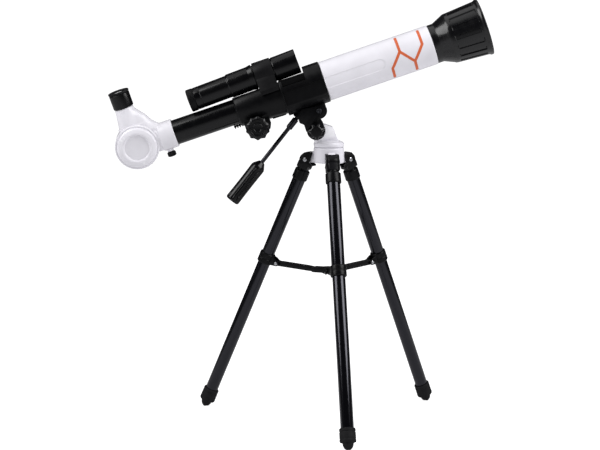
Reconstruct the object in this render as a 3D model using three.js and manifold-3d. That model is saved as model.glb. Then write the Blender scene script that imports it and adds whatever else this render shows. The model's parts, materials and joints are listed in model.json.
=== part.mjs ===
// Small refracting telescope on a folding tabletop tripod.
// Units are millimetres, +Z is up, the objective points along +X and upwards.
import * as THREE from 'three';
import Module from 'manifold-3d';
import { mergeVertices } from 'three/addons/utils/BufferGeometryUtils.js';

const wasm = await Module();
wasm.setup();

// ---------------------------------------------------------------- placement
const SHIFT_X = 28.1;            // puts the origin under the middle of the bounding box
const SHIFT_Y = 25.75;
const DEG = Math.PI / 180;

// ---------------------------------------------------------------- facets round a full turn
const FINE = 32;
const MEDIUM = 16;
const COARSE = 12;
const SMALL = 8;

// ---------------------------------------------------------------- tripod
const LEG_COUNT = 3;
const TRIPOD_YAW = 7;            // the head is panned this far round from the front leg
const HINGE_R = 23;              // leg pin, from the tripod axis
const HINGE_Z = 262;
const LEG_LENGTH = 285.4;        // pin to the tip of the foot
const SPLAY = 23.35;             // leg angle from vertical
const LUG_HALF = 3.6;            // hub lug, half thickness and end radius
const CHEEK_IN = 3.9;            // knuckle cheeks on both sides of the lug
const CHEEK_OUT = 6.5;
const PIN_R = 1.6;
const RUN_GAP = 0.06;            // radial clearance of a pin that turns
const HUB_R = 15.3;
const HUB_LOW = 259.2;
const HUB_HIGH = 274.8;
const AXLE_R = 3.9;

const CAP_TOP = -10.8;           // distances down the leg from the pin
const CAP_END = -22;
const UPPER_R = 6.6;
const UPPER_TOP = -13.6;
const UPPER_END = -110.6;
const LOWER_R = 6.4;
const LOWER_END = -276;
const COLLAR_MID = -111;
const COLLAR_HALF = 5.4;
const COLLAR_R = 8;
const BOOT_TOP = -264.3;
const BOOT_SHOULDER = -277.6;
const BOOT_R = 7.9;

const ARM_OFFSET = 13.4;         // outer arm pivot, inwards from the leg axis
const ARM_HALF = 2.6;
const ARM_PIN_R = 1.2;
const STAY_R = 14;               // inner arm pivot, from the tripod axis
const STAY_Z = 151.3;
const STAY_EAR_IN = 3.1;
const STAY_EAR_OUT = 4.9;

// ---------------------------------------------------------------- head
const BRIM_R = 15.3;
const BRIM_LOW = 275.3;
const BRIM_HIGH = 281;
const TONGUE_HALF = 7.2;
const PIVOT_X = -13.1;
const PIVOT_Z = 291.8;
const BOLT_R = 2.4;
const HEAD_IN = 7.6;
const HEAD_OUT = 11.2;

// ---------------------------------------------------------------- telescope
const TILT = 19.2;
const PIVOT_S = -23.4;           // tilt pivot in the tube's own frame
const PIVOT_U = -42.9;
const SLEEVE_R = 20.95;
const SLEEVE_BACK = -43.8;
const RING_BACK = -17;           // full ring at the front of the housing
const HOUSING_BACK = -92;
const SADDLE_U = 14.4;           // flat top under the front of the finder
const FLAT_U = 13.45;            // flat top behind it, under the bracket
const TUBE_R = 20;
const TUBE_WALL = 2;
const SPIGOT_R = 16.6;           // end of the tube that sits inside the housing
const SPIGOT_BACK = -14;
const SLOT_FLOOR = 18.2;         // bottom of the housing's side channels, from the axis
const TUBE_FRONT = 112.6;
const SHIELD_FRONT = 167.6;
const DRAW_R = 12.5;
const DRAW_WALL = 1.5;
const DRAW_BACK = -169;
const DRAW_FRONT = -30;
const DRAW_BORE = DRAW_R + RUN_GAP;
const KNOB_S = -76.8;
const KNOB_U = -21;
const MODULE = 0.8;
const PINION_TEETH = 14;
const PINION_R = MODULE * PINION_TEETH / 2;
const SHAFT_R = 2;
const KNOB_R = 12.2;
const RACK_PITCH_U = KNOB_U + PINION_R;
const DRUM_S = -195.8;
const DIAGONAL_ROLL = 6;         // the diagonal is turned this far towards the front side
const DRUM_R = 22.2;
const DRUM_HALF = 13.2;
const COLLAR_FRONT = 39.3;       // from the drum centre
const SCREW_X = 29.3;            // thumb screw, from the drum centre
const SCREW_R = 1.5;
const EYE_BASE = 40.2;
const EYE_TOP = 57.4;
const FINDER_TILT = 1.6;
const FINDER_MID_S = -54;
const FINDER_MID_U = 26.95;

const LUG_S = -14.4;             // cross bolt that holds the telescope on the head
const LUG_U = -25.2;
const LUG_BOLT_R = 1.6;
const HANDLE_S = -33.1;
const HANDLE_U = -22.6;
const HANDLE_DROP = 33;          // handle angle below the tube axis, pointing back
const ROD_R = 2.1;
const ROD_END = 72;
const GRIP_END = 110.2;

// ---------------------------------------------------------------- materials
function material(color, roughness, metalness) {
  return new THREE.MeshStandardMaterial({ color, roughness, metalness });
}
const WHITE = material(0xe9e8ee, 0.38, 0);
const BLACK = material(0x17171a, 0.42, 0);
const SATIN_BLACK = material(0x1d1d20, 0.3, 0.4);
const RUBBER = material(0x141415, 0.75, 0);
const STEEL = material(0xb9bbc0, 0.25, 1);
const GLASS = material(0xaec4d8, 0.05, 0);
const MIRROR = material(0xd8dde2, 0.05, 1);

// ---------------------------------------------------------------- solids
function signedVolume(geometry) {
  const p = geometry.attributes.position;
  const index = geometry.index;
  const a = new THREE.Vector3();
  const b = new THREE.Vector3();
  const c = new THREE.Vector3();
  let sum = 0;
  for (let i = 0; i < index.count; i += 3) {
    a.fromBufferAttribute(p, index.getX(i));
    b.fromBufferAttribute(p, index.getX(i + 1));
    c.fromBufferAttribute(p, index.getX(i + 2));
    sum += a.dot(b.cross(c));
  }
  return sum / 6;
}

function solid(geometry) {
  const bare = geometry.clone();
  bare.deleteAttribute('normal');
  bare.deleteAttribute('uv');
  const merged = mergeVertices(bare, 1e-4);
  const source = merged.index.array;
  const flip = signedVolume(merged) < 0;
  const tri = [];
  for (let i = 0; i < source.length; i += 3) {
    const [a, b, c] = [source[i], source[i + 1], source[i + 2]];
    if (a === b || b === c || c === a) continue;
    tri.push(a, flip ? c : b, flip ? b : c);
  }
  return new wasm.Manifold(new wasm.Mesh({
    numProp: 3,
    vertProperties: Float32Array.from(merged.attributes.position.array),
    triVerts: Uint32Array.from(tri),
  }));
}

function geometryOf(body) {
  const mesh = body.getMesh();
  const stride = mesh.numProp;
  const count = mesh.vertProperties.length / stride;
  const points = new Float32Array(count * 3);
  for (let i = 0; i < count; i += 1) {
    for (let k = 0; k < 3; k += 1) points[3 * i + k] = mesh.vertProperties[stride * i + k];
  }
  const geometry = new THREE.BufferGeometry();
  geometry.setAttribute('position', new THREE.BufferAttribute(points, 3));
  geometry.setIndex(new THREE.BufferAttribute(Uint32Array.from(mesh.triVerts), 1));
  return geometry;
}

function union(...bodies) {
  return bodies.reduce((sum, body) => sum.add(body));
}

function cut(body, ...tools) {
  return tools.reduce((rest, tool) => rest.subtract(tool), body);
}

// Turns a profile of [radius, height] round the Z axis. The profile closes on
// itself, or starts and ends on the axis. radiusAt may change a radius by angle.
function turned(profile, steps, radiusAt = (r) => r) {
  const angles = Array.isArray(steps)
    ? steps
    : Array.from({ length: steps }, (_, k) => 2 * Math.PI * k / steps);
  const closed = profile[0][0] > 0;
  const rows = profile.map(([r, z], row) => angles.map((t) => {
    const q = r > 0 ? radiusAt(r, row, t) : 0;
    return [q * Math.cos(t), q * Math.sin(t), z];
  }));
  const positions = [];
  const quad = (a, b, c, d) => {
    positions.push(...a, ...b, ...c, ...a, ...c, ...d);
  };
  const last = closed ? rows.length : rows.length - 1;
  for (let i = 0; i < last; i += 1) {
    const low = rows[i];
    const high = rows[(i + 1) % rows.length];
    for (let k = 0; k < angles.length; k += 1) {
      const n = (k + 1) % angles.length;
      quad(low[k], low[n], high[n], high[k]);
    }
  }
  const geometry = new THREE.BufferGeometry();
  geometry.setAttribute('position', new THREE.Float32BufferAttribute(positions, 3));
  return solid(geometry);
}

function moved(body, matrix) {
  return solid(geometryOf(body).applyMatrix4(matrix));
}

function translation(x, y, z) {
  return new THREE.Matrix4().makeTranslation(x, y, z);
}

const TO_X = new THREE.Matrix4().makeRotationY(90 * DEG);     // +Z to +X
const TO_Y = new THREE.Matrix4().makeRotationX(-90 * DEG);    // +Z to +Y

// Turned about a line parallel to X, Y or Z through (x, y, z).
function turnedX(profile, steps, y = 0, z = 0, radiusAt = undefined) {
  return moved(turned(profile, steps, radiusAt), translation(0, y, z).multiply(TO_X));
}

function turnedY(profile, steps, x = 0, z = 0, radiusAt = undefined) {
  return moved(turned(profile, steps, radiusAt), translation(x, 0, z).multiply(TO_Y));
}

function disc(radius, low, high) {
  return [[0, low], [radius, low], [radius, high], [0, high]];
}

// A hole for a pin that turns: its flats clear the pin's corners by the running gap.
function bore(pin, low, high, steps = SMALL) {
  return disc((pin + RUN_GAP) / Math.cos(Math.PI / steps), low, high);
}

function pipe(inner, outer, low, high) {
  return [[inner, low], [outer, low], [outer, high], [inner, high]];
}

function box(x0, x1, y0, y1, z0, z1) {
  const geometry = new THREE.BoxGeometry(x1 - x0, y1 - y0, z1 - z0);
  geometry.translate((x0 + x1) / 2, (y0 + y1) / 2, (z0 + z1) / 2);
  return solid(geometry);
}

// A profile of [x, z] points, pushed from y0 to y1.
function plate(points, y0, y1) {
  const shape = new THREE.Shape(points.map(([x, z]) => new THREE.Vector2(x, z)));
  const geometry = new THREE.ExtrudeGeometry(shape, { depth: y1 - y0, bevelEnabled: false, steps: 1 });
  geometry.rotateX(90 * DEG);
  geometry.translate(0, y1, 0);
  return solid(geometry);
}

function arc(cx, cz, radius, from, to, steps) {
  return Array.from({ length: steps + 1 }, (_, k) => {
    const t = (from + (to - from) * k / steps) * DEG;
    return [cx + radius * Math.cos(t), cz + radius * Math.sin(t)];
  });
}

// ---------------------------------------------------------------- frames
const TUBE_FRAME = (() => {
  const turn = new THREE.Matrix4().makeRotationY(-TILT * DEG);
  const pivot = new THREE.Vector3(PIVOT_S, 0, PIVOT_U).applyMatrix4(turn);
  return translation(PIVOT_X - pivot.x, 0, PIVOT_Z - pivot.z).multiply(turn);
})();
const DIAGONAL_FRAME = TUBE_FRAME.clone()
  .multiply(translation(DRUM_S, 0, 0))
  .multiply(new THREE.Matrix4().makeRotationX(DIAGONAL_ROLL * DEG));
const FINDER_FRAME = TUBE_FRAME.clone()
  .multiply(translation(FINDER_MID_S, 0, FINDER_MID_U))
  .multiply(new THREE.Matrix4().makeRotationY(-FINDER_TILT * DEG));
const HANDLE_ON_TUBE = translation(HANDLE_S, 0, HANDLE_U)
  .multiply(new THREE.Matrix4().makeRotationY((180 - HANDLE_DROP) * DEG));
const HANDLE_FRAME = TUBE_FRAME.clone().multiply(HANDLE_ON_TUBE);

function legTurn(i) {
  const azimuth = -90 + TRIPOD_YAW + i * 360 / LEG_COUNT;
  return new THREE.Matrix4().makeRotationZ(azimuth * DEG);
}

function legFrame(i) {
  return legTurn(i)
    .multiply(translation(HINGE_R, 0, HINGE_Z))
    .multiply(new THREE.Matrix4().makeRotationY(-SPLAY * DEG));
}

// From the hub's upright frame at the pin to the leg's own leaning frame.
function lean(points) {
  const c = Math.cos(SPLAY * DEG);
  const s = Math.sin(SPLAY * DEG);
  return points.map(([q, z]) => [q * c + z * s, -q * s + z * c]);
}

const UPRIGHT = new THREE.Matrix4();
const group = new THREE.Group();

function add(name, body, look, frame = UPRIGHT) {
  const geometry = geometryOf(body);
  geometry.applyMatrix4(frame);
  geometry.translate(SHIFT_X, SHIFT_Y, 0);
  geometry.computeVertexNormals();
  const mesh = new THREE.Mesh(geometry, look);
  mesh.name = name;
  group.add(mesh);
}

// ---------------------------------------------------------------- tripod parts
function tripodHub() {
  let hub = turned([
    [0, HUB_LOW], [HUB_R - 1.2, HUB_LOW], [HUB_R, HUB_LOW + 1.2], [HUB_R, HUB_HIGH], [0, HUB_HIGH],
  ], FINE);
  const lug = plate([
    [8, HUB_LOW], [HINGE_R, HINGE_Z - LUG_HALF],
    ...arc(HINGE_R, HINGE_Z, LUG_HALF, -75, 90, 5), [17.5, 270], [8, 270],
  ], -LUG_HALF, LUG_HALF);
  const hole = turnedY(bore(PIN_R, -20, 20), SMALL, HINGE_R, HINGE_Z);
  for (let i = 0; i < LEG_COUNT; i += 1) hub = hub.add(moved(cut(lug, hole), legTurn(i)));
  return cut(hub, turned(bore(AXLE_R, 265, HUB_HIGH + 1, COARSE), COARSE));
}

function panAxle() {
  return turned(disc(AXLE_R, 265.2, 279.6), COARSE);
}

function legPin() {
  const end = CHEEK_OUT + 0.9;
  const head = CHEEK_OUT + 0.15;
  return turnedY([
    [0, -end], [2.2, -end], [2.2, -head], [PIN_R, -head],
    [PIN_R, head], [2.2, head], [2.2, end], [0, end],
  ], SMALL);
}

function legKnuckle() {
  const outline = [
    ...lean([[-7.5, 8.4], [-5.2, -1.6], [-3.6, -2.8], [-7.2, -5.6], [-7.0, -6.9], [-3.2, -7.6]]),
    [-5.9, -9.6], [5.9, -9.6], [6.1, -5],
    ...lean(arc(0, 0, 6.2, 0, 54, 3)), ...lean([[1.4, 7.6], [-1.2, 8.7], [-6.9, 8.7]]),
  ];
  const cheek = cut(plate(outline, CHEEK_IN, CHEEK_OUT),
    turnedY(bore(PIN_R, -20, 20), SMALL));
  const web = plate([
    ...lean(arc(0, 0, 6.2, -20, 60, 3)), ...lean(arc(0, 0, 4.3, 60, -20, 3)),
  ], -CHEEK_IN, CHEEK_IN);
  const bridge = plate([
    [-5.9, -9.6], [-5.9, -7], [-3.4, -4.9], [3.6, -4.9], [4.3, -3.4], [6.15, -2.2], [6.15, -5],
    [5.9, -9.6],
  ], -CHEEK_IN, CHEEK_IN);
  const cap = turned([
    [0, -9.3], [5.9, -9.3], [5.9, CAP_TOP - 0.4], [7.7, CAP_TOP - 1.2], [7.8, CAP_END], [UPPER_R + RUN_GAP, CAP_END],
    [UPPER_R + RUN_GAP, UPPER_TOP + 0.3], [0, UPPER_TOP + 0.3],
  ], MEDIUM);
  return union(cheek, moved(cheek, translation(0, -CHEEK_IN - CHEEK_OUT, 0)), web, bridge, cap);
}

function legUpperTube() {
  return turned(pipe(UPPER_R - 0.9, UPPER_R, UPPER_END, UPPER_TOP), MEDIUM);
}

function legLowerTube() {
  return turned(pipe(LOWER_R - 0.9, LOWER_R, LOWER_END, UPPER_END - 0.3), MEDIUM);
}

function legCollar() {
  const low = COLLAR_MID - COLLAR_HALF;
  const high = COLLAR_MID + COLLAR_HALF;
  const inside = UPPER_R + RUN_GAP;
  const ring = turned([
    [inside, low], [COLLAR_R, low], [COLLAR_R, high], [inside, high],
  ], MEDIUM);
  const ear = plate([
    [-6.4, high - 1], [-9.4, high - 1.4], ...arc(-ARM_OFFSET, COLLAR_MID, 2.9, 75, 270, 4),
    [-6.4, low + 0.8],
  ], STAY_EAR_IN, STAY_EAR_OUT);
  const pair = union(ear, moved(ear, translation(0, -STAY_EAR_IN - STAY_EAR_OUT, 0)));
  const hole = turnedY(bore(ARM_PIN_R, -20, 20), SMALL, -ARM_OFFSET, COLLAR_MID);
  return cut(union(ring, cut(pair, hole)), turned(disc(inside, low - 1, high + 1), MEDIUM));
}

function legFoot() {
  const shoulder = BOOT_SHOULDER;
  const tip = -LEG_LENGTH - 0.6;
  const socket = LOWER_R + RUN_GAP;
  return turned([
    [0, tip], [2.4, tip + 0.4], [4.6, tip + 2.8], [5.6, shoulder - 0.9], [BOOT_R + 0.2, shoulder + 0.8],
    [BOOT_R, BOOT_TOP], [socket, BOOT_TOP], [socket, LOWER_END - 0.3], [0, LOWER_END - 0.3],
  ], MEDIUM);
}

// Everything below the floor plane, in the leg's own frame.
function floorCut(i) {
  const slab = box(-400, 400, -400, 400, -60, 0);
  return moved(slab, legFrame(i).invert());
}

// The arm is drawn level, from its outer pivot at the origin towards +X.
function armGeometry() {
  const outerX = HINGE_R + Math.sin(SPLAY * DEG) * -COLLAR_MID - ARM_OFFSET * Math.cos(SPLAY * DEG);
  const outerZ = HINGE_Z + Math.cos(SPLAY * DEG) * COLLAR_MID - ARM_OFFSET * Math.sin(SPLAY * DEG);
  const run = outerX - STAY_R;
  const drop = outerZ - STAY_Z;
  return { outerX, outerZ, length: Math.hypot(run, drop), slope: Math.atan2(drop, run) };
}

function spreaderArm() {
  const { length } = armGeometry();
  const body = plate([
    ...arc(0, 0, 2.6, 90, 270, 4), [6, -2.9], [length - 7, -2.9],
    ...arc(length, 0, 2.5, -90, 90, 4), [length - 7, 2.6], [6, 2.6],
  ], -ARM_HALF, ARM_HALF);
  const channel = plate([[6, -4], [length - 7, -4], [length - 7, 1.1], [6, 1.1]], -1.5, 1.5);
  const hole = turnedY(bore(ARM_PIN_R, -20, 20), SMALL);
  return cut(body, channel, hole);
}

function armFrame(i) {
  const { outerX, outerZ, slope } = armGeometry();
  return legTurn(i)
    .multiply(translation(outerX, 0, outerZ))
    .multiply(new THREE.Matrix4().makeRotationY(Math.PI - slope));
}

function armPin() {
  const end = STAY_EAR_OUT + 0.5;
  const head = STAY_EAR_OUT + 0.1;
  return turnedY([
    [0, -end], [1.9, -end], [1.9, -head], [ARM_PIN_R, -head],
    [ARM_PIN_R, head], [1.9, head], [1.9, end], [0, end],
  ], SMALL, -ARM_OFFSET, COLLAR_MID);
}

function spreaderHub() {
  let hub = turned([[0, -3.4], [5.4, -3.4], [6.0, -2.8], [6.0, 2.4], [5.2, 3.2], [0, 3.2]], COARSE);
  const ear = plate([
    [2, -2.8], [STAY_R, -2.8], ...arc(STAY_R, 0, 2.8, -54, 54, 3), [STAY_R, 2.8], [2, 2.8],
  ], STAY_EAR_IN, STAY_EAR_OUT);
  const stud = turnedY(disc(ARM_PIN_R, STAY_EAR_IN - 0.3, STAY_EAR_IN + 0.5), SMALL, STAY_R, 0);
  const side = union(ear, stud);
  const mirrored = moved(side, new THREE.Matrix4().makeScale(1, -1, 1));
  for (let i = 0; i < LEG_COUNT; i += 1) hub = union(hub, moved(side, legTurn(i)), moved(mirrored, legTurn(i)));
  return moved(hub, translation(0, 0, STAY_Z));
}

// ---------------------------------------------------------------- head parts
function panTurret() {
  const base = turned([
    [0, BRIM_LOW], [BRIM_R - 1.2, BRIM_LOW], [BRIM_R, BRIM_LOW + 1.4], [BRIM_R, BRIM_HIGH - 2.2],
    [12, BRIM_HIGH], [10.5, BRIM_HIGH + 1.1], [0, BRIM_HIGH + 1.1],
  ], FINE);
  const tongue = plate([
    [-13.5, 278], [12.2, 278], [9.6, 281.6], [7.0, 287.4], [4.6, 293.6], [3.4, 295.2], [-3.6, 297.8],
    ...arc(PIVOT_X, PIVOT_Z, 7.6, 60, 190, 6),
  ], -TONGUE_HALF, TONGUE_HALF);
  return cut(union(base, tongue),
    turned(bore(AXLE_R, BRIM_LOW - 1, 280, COARSE), COARSE),
    turnedY(bore(BOLT_R, -20, 20), SMALL, PIVOT_X, PIVOT_Z));
}

function tiltHead() {
  const side = union(
    plate([
      [-36.4, -24], [-36.4, -30.5], [-32.9, -33.5], [-32.9, -41], ...arc(PIVOT_S, PIVOT_U, 9.3, 165, 375, 8),
      [-14.2, -38], [-15.2, -33], [-9.5, -30], [-12, -22], [-20, -22], [-24, -24],
    ], HEAD_IN, HEAD_OUT),
    plate(arc(LUG_S, LUG_U, 8.2, 0, 337.5, 15), HEAD_IN, HEAD_OUT),
  );
  const mirrored = moved(side, new THREE.Matrix4().makeScale(1, -1, 1));
  const deck = plate([
    [-36.4, -24], [-36.4, -30.5], [-33, -33], [-31, -33], [-28, -31.2], [-21, -31.2],
    [-19.6, -29.6], [-19.6, -25.4], [-30, -24],
  ], -HEAD_IN, HEAD_IN);
  const socket = moved(
    turnedX([[0, -3], [4.8, -3], [4.8, 4.6], [4, 5.4], [0, 5.4]], COARSE), HANDLE_ON_TUBE,
  );
  return cut(union(side, mirrored, deck, socket),
    turnedX(disc(SLEEVE_R + 0.4, -80, 20), FINE),
    box(-28.3, 10, -HEAD_IN, HEAD_IN, -25.2, -5),
    moved(turnedX(bore(ROD_R, -1, 20), SMALL), HANDLE_ON_TUBE),
    turnedY(bore(BOLT_R, -20, 20), SMALL, PIVOT_S, PIVOT_U),
    turnedY(bore(LUG_BOLT_R, -20, 20), SMALL, LUG_S, LUG_U));
}

function mountShoe() {
  const half = HEAD_IN - 0.3;
  const body = plate([
    [-28, -14], [-28, -24.8], [-8, -24.8], [-6.4, -23], [-6.4, -14],
  ], -half, half);
  const lug = plate(arc(LUG_S, LUG_U, 4.2, 0, 330, 11), -half, half);
  return cut(union(body, lug),
    turnedX(disc(SLEEVE_R + 0.2, -80, 20), FINE),
    turnedY(bore(LUG_BOLT_R, -20, 20), SMALL, LUG_S, LUG_U));
}

function saddleBolt() {
  const end = HEAD_OUT + 1.5;
  const head = HEAD_OUT + 0.2;
  return turnedY([
    [0, -end], [2.6, -end], [2.6, -head], [LUG_BOLT_R, -head],
    [LUG_BOLT_R, head], [2.6, head], [2.6, end], [0, end],
  ], SMALL, LUG_S, LUG_U);
}

function tiltBolt() {
  const far = HEAD_OUT + 4;
  const seat = HEAD_OUT + 0.2;
  return turnedY([
    [0, -22.4], [BOLT_R, -22.4], [BOLT_R, seat], [5, seat], [5, far], [0, far],
  ], SMALL, PIVOT_S, PIVOT_U);
}

function lobedRadius(lobes, depth) {
  return (r, row, t) => r - depth * (0.5 - 0.5 * Math.cos(lobes * t));
}

function tiltKnob() {
  const near = -HEAD_OUT - 0.3;
  const lobes = 7;
  const carve = lobedRadius(lobes, 2.6);
  return turnedY([
    [2.5, -24], [6.2, -24], [8.8, -21.2], [8.8, -14.4], [7, near], [2.5, near],
  ], lobes * 4, PIVOT_S, PIVOT_U, (r, row, t) => (r > 7.5 ? carve(r, row, t) : r));
}

function handleFerrule() {
  return turnedX([
    [ROD_R + 0.1, 6.6], [3.2, 6.6], [3.2, 17.4], [2.8, 18.4], [ROD_R + 0.1, 18.4],
  ], COARSE);
}

function handleRod() {
  return turnedX(disc(ROD_R, 0, ROD_END), SMALL);
}

function handleGrip() {
  const flutes = 8;
  const firstFluted = 3;
  const lastFluted = 5;
  const carve = lobedRadius(flutes, 0.9);
  const body = turnedX([
    [0, 61], [3.2, 61], [6.8, 66], [7.5, 68.4], [7.1, 95], [7.4, 106], [5.4, GRIP_END], [0, GRIP_END],
  ], flutes * 4, 0, 0, (r, row, t) => (
    row >= firstFluted && row <= lastFluted ? carve(r, row, t) : r));
  return cut(body, turnedX(disc(ROD_R + 0.1, 60, ROD_END + 0.3), SMALL));
}

// ---------------------------------------------------------------- telescope parts
function focuserHousing() {
  const shell = turnedX([
    [0, HOUSING_BACK], [14.6, HOUSING_BACK], [15.6, HOUSING_BACK + 1.2], [16.8, -84], [18.3, -50],
    [18.4, SLEEVE_BACK], [SLEEVE_R - 0.8, SLEEVE_BACK], [SLEEVE_R, SLEEVE_BACK + 0.8],
    [SLEEVE_R, -0.5], [SLEEVE_R - 0.5, 0], [0, 0],
  ], FINE);
  const gearbox = plate([
    [-88.6, -8], [-88.6, -22], [-86.6, -26.4], [-82.2, -29.4], [-70.4, -29.4], [-65.2, -26.4],
    [-63.1, -22], [-63.1, -8],
  ], -9, 9);
  const slotX = [SLEEVE_BACK + 1, 1];
  return cut(union(shell, gearbox),
    box(HOUSING_BACK - 1, SLEEVE_BACK, -30, 30, FLAT_U, 30),
    box(SLEEVE_BACK - 1, RING_BACK, -30, 30, SADDLE_U, 30),
    box(SLEEVE_BACK + 3, RING_BACK, -30, -15, 8.5, 30),
    box(SLEEVE_BACK + 3, RING_BACK, 15, 30, 8.5, 30),
    box(...slotX, -30, -SLOT_FLOOR, -10.4, 4),
    box(...slotX, SLOT_FLOOR, 30, -10.4, 4),
    turnedX([
      [0, HOUSING_BACK - 1], [DRAW_BORE, HOUSING_BACK - 1], [DRAW_BORE, RING_BACK],
      [SPIGOT_R - 1.5, SPIGOT_BACK - 0.3], [SPIGOT_R + RUN_GAP, SPIGOT_BACK - 0.3],
      [SPIGOT_R + RUN_GAP, 1], [0, 1],
    ], FINE),
    box(HOUSING_BACK - 1, -25, -2.9, 2.9, KNOB_U + 4, -10),
    turnedY(disc(PINION_R + 1.5, -3.4, 3.4), COARSE, KNOB_S, KNOB_U),
    turnedY(disc(KNOB_R + 0.7, 12, 30), FINE, KNOB_S, KNOB_U),
    turnedY(disc(KNOB_R + 0.7, -30, -12), FINE, KNOB_S, KNOB_U),
    turnedY(bore(SHAFT_R, -20, 20), SMALL, KNOB_S, KNOB_U));
}

function mainTube() {
  const inner = TUBE_R - TUBE_WALL;
  const wall = turnedX([
    [SPIGOT_R - 1.5, SPIGOT_BACK], [SPIGOT_R, SPIGOT_BACK], [SPIGOT_R, 0.3], [TUBE_R, 0.3],
    [TUBE_R, TUBE_FRONT], [inner, TUBE_FRONT], [inner, 2.3], [SPIGOT_R - 1.5, 2.3],
  ], FINE);
  const middle = -1.1;
  const half = 5.5;
  const panel = plate([
    [-20, middle - half], ...arc(56.5, middle, half, -90, 90, 6), [-20, middle + half],
  ], -25, -10);
  return cut(wall, cut(panel, turnedX(disc(TUBE_R - 0.6, -30, 80), FINE)));
}

function dewShield() {
  const facets = Array.from({ length: FINE }, (_, k) => (k + 0.5) * 2 * Math.PI / FINE);
  const shell = turnedX([
    [15.9, 102], [17.75, 102], [17.75, TUBE_FRONT + 0.3], [19.5, TUBE_FRONT + 0.3], [19.5, 119.3],
    [24.6, 129.6], [27.3, 163.4], [28.5, 165], [28.5, SHIELD_FRONT], [26.4, SHIELD_FRONT],
    [22.8, 131], [18.35, 129.6], [18.35, 120], [16.2, 120],
  ], facets);
  const groove = plate([[134, 24], [134, 30], [161.5, 30], [161.5, 26.05]], -2.2, 2.2);
  const flutes = Array.from({ length: FINE / 2 }, (_, k) => (
    moved(groove, new THREE.Matrix4().makeRotationX(k * 4 * Math.PI / FINE))));
  return cut(shell, ...flutes);
}

// A lens between two rims, bulging by sag at the middle of each face.
function lens(radius, back, front, sag) {
  const steps = 2;
  const bulge = (side, edge) => Array.from({ length: steps }, (_, k) => {
    const r = radius * k / steps;
    return [r, edge + side * sag * (1 - (r / radius) ** 2)];
  });
  return [
    ...bulge(-1, back), [radius, back], [radius, front], ...bulge(1, front).reverse(),
  ];
}

function objectiveLens() {
  return turnedX(lens(18.1, 122, 124.4, 1.4), MEDIUM);
}

function lensRing() {
  return turnedX([
    [15.9, 125.2], [18.1, 125.2], [18.1, 129.2], [17.2, 129.2], [15.9, 127],
  ], MEDIUM);
}

function drawtube() {
  return turnedX([
    [DRAW_R - DRAW_WALL, DRAW_BACK], [DRAW_R, DRAW_BACK], [DRAW_R, DRAW_FRONT],
    [DRAW_R - DRAW_WALL, DRAW_FRONT],
  ], FINE);
}

function drawtubeRack() {
  const pitch = Math.PI * MODULE;
  const teeth = 20;
  const first = KNOB_S + (0.5 - 9) * pitch;
  const root = RACK_PITCH_U + 0.9;
  const tip = RACK_PITCH_U - 0.7;
  const outline = [[first - 1, -12.6], [first - 1, root]];
  for (let k = 0; k < teeth; k += 1) {
    const middle = first + k * pitch;
    outline.push([middle - 0.83, root], [middle - 0.25, tip], [middle + 0.25, tip], [middle + 0.83, root]);
  }
  const end = first + (teeth - 1) * pitch + 1;
  outline.push([end, root], [end, -12.6]);
  return plate(outline, -2.4, 2.4);
}

function focusShaft() {
  const outline = [];
  const step = 360 / PINION_TEETH;
  const corner = (radius, across, middle) => {
    const t = middle * DEG + across / radius;
    outline.push([KNOB_S + radius * Math.cos(t), KNOB_U + radius * Math.sin(t)]);
  };
  for (let k = 0; k < PINION_TEETH; k += 1) {
    const middle = 90 + k * step;
    corner(PINION_R - 0.9, -0.75, middle);
    corner(PINION_R, -0.5, middle);
    corner(PINION_R + 0.7, -0.22, middle);
    corner(PINION_R + 0.7, 0.22, middle);
    corner(PINION_R, 0.5, middle);
    corner(PINION_R - 0.9, 0.75, middle);
  }
  return union(plate(outline, -2.8, 2.8), turnedY(disc(SHAFT_R, -21, 21), SMALL, KNOB_S, KNOB_U));
}

function focusKnob() {
  const lobes = 10;
  const carve = lobedRadius(lobes, 1.5);
  const inside = (SHAFT_R + RUN_GAP) / Math.cos(Math.PI / SMALL);
  return turnedY([
    [0, 23], [7.3, 23], [9.3, 22.4], [KNOB_R, 19.8], [KNOB_R, 13.4], [7, 12.2], [7, 11.4],
    [inside, 11.4], [inside, 21.2], [0, 21.2],
  ], lobes * 3, KNOB_S, KNOB_U, (r, row, t) => (r > 10 ? carve(r, row, t) : r));
}

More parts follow.
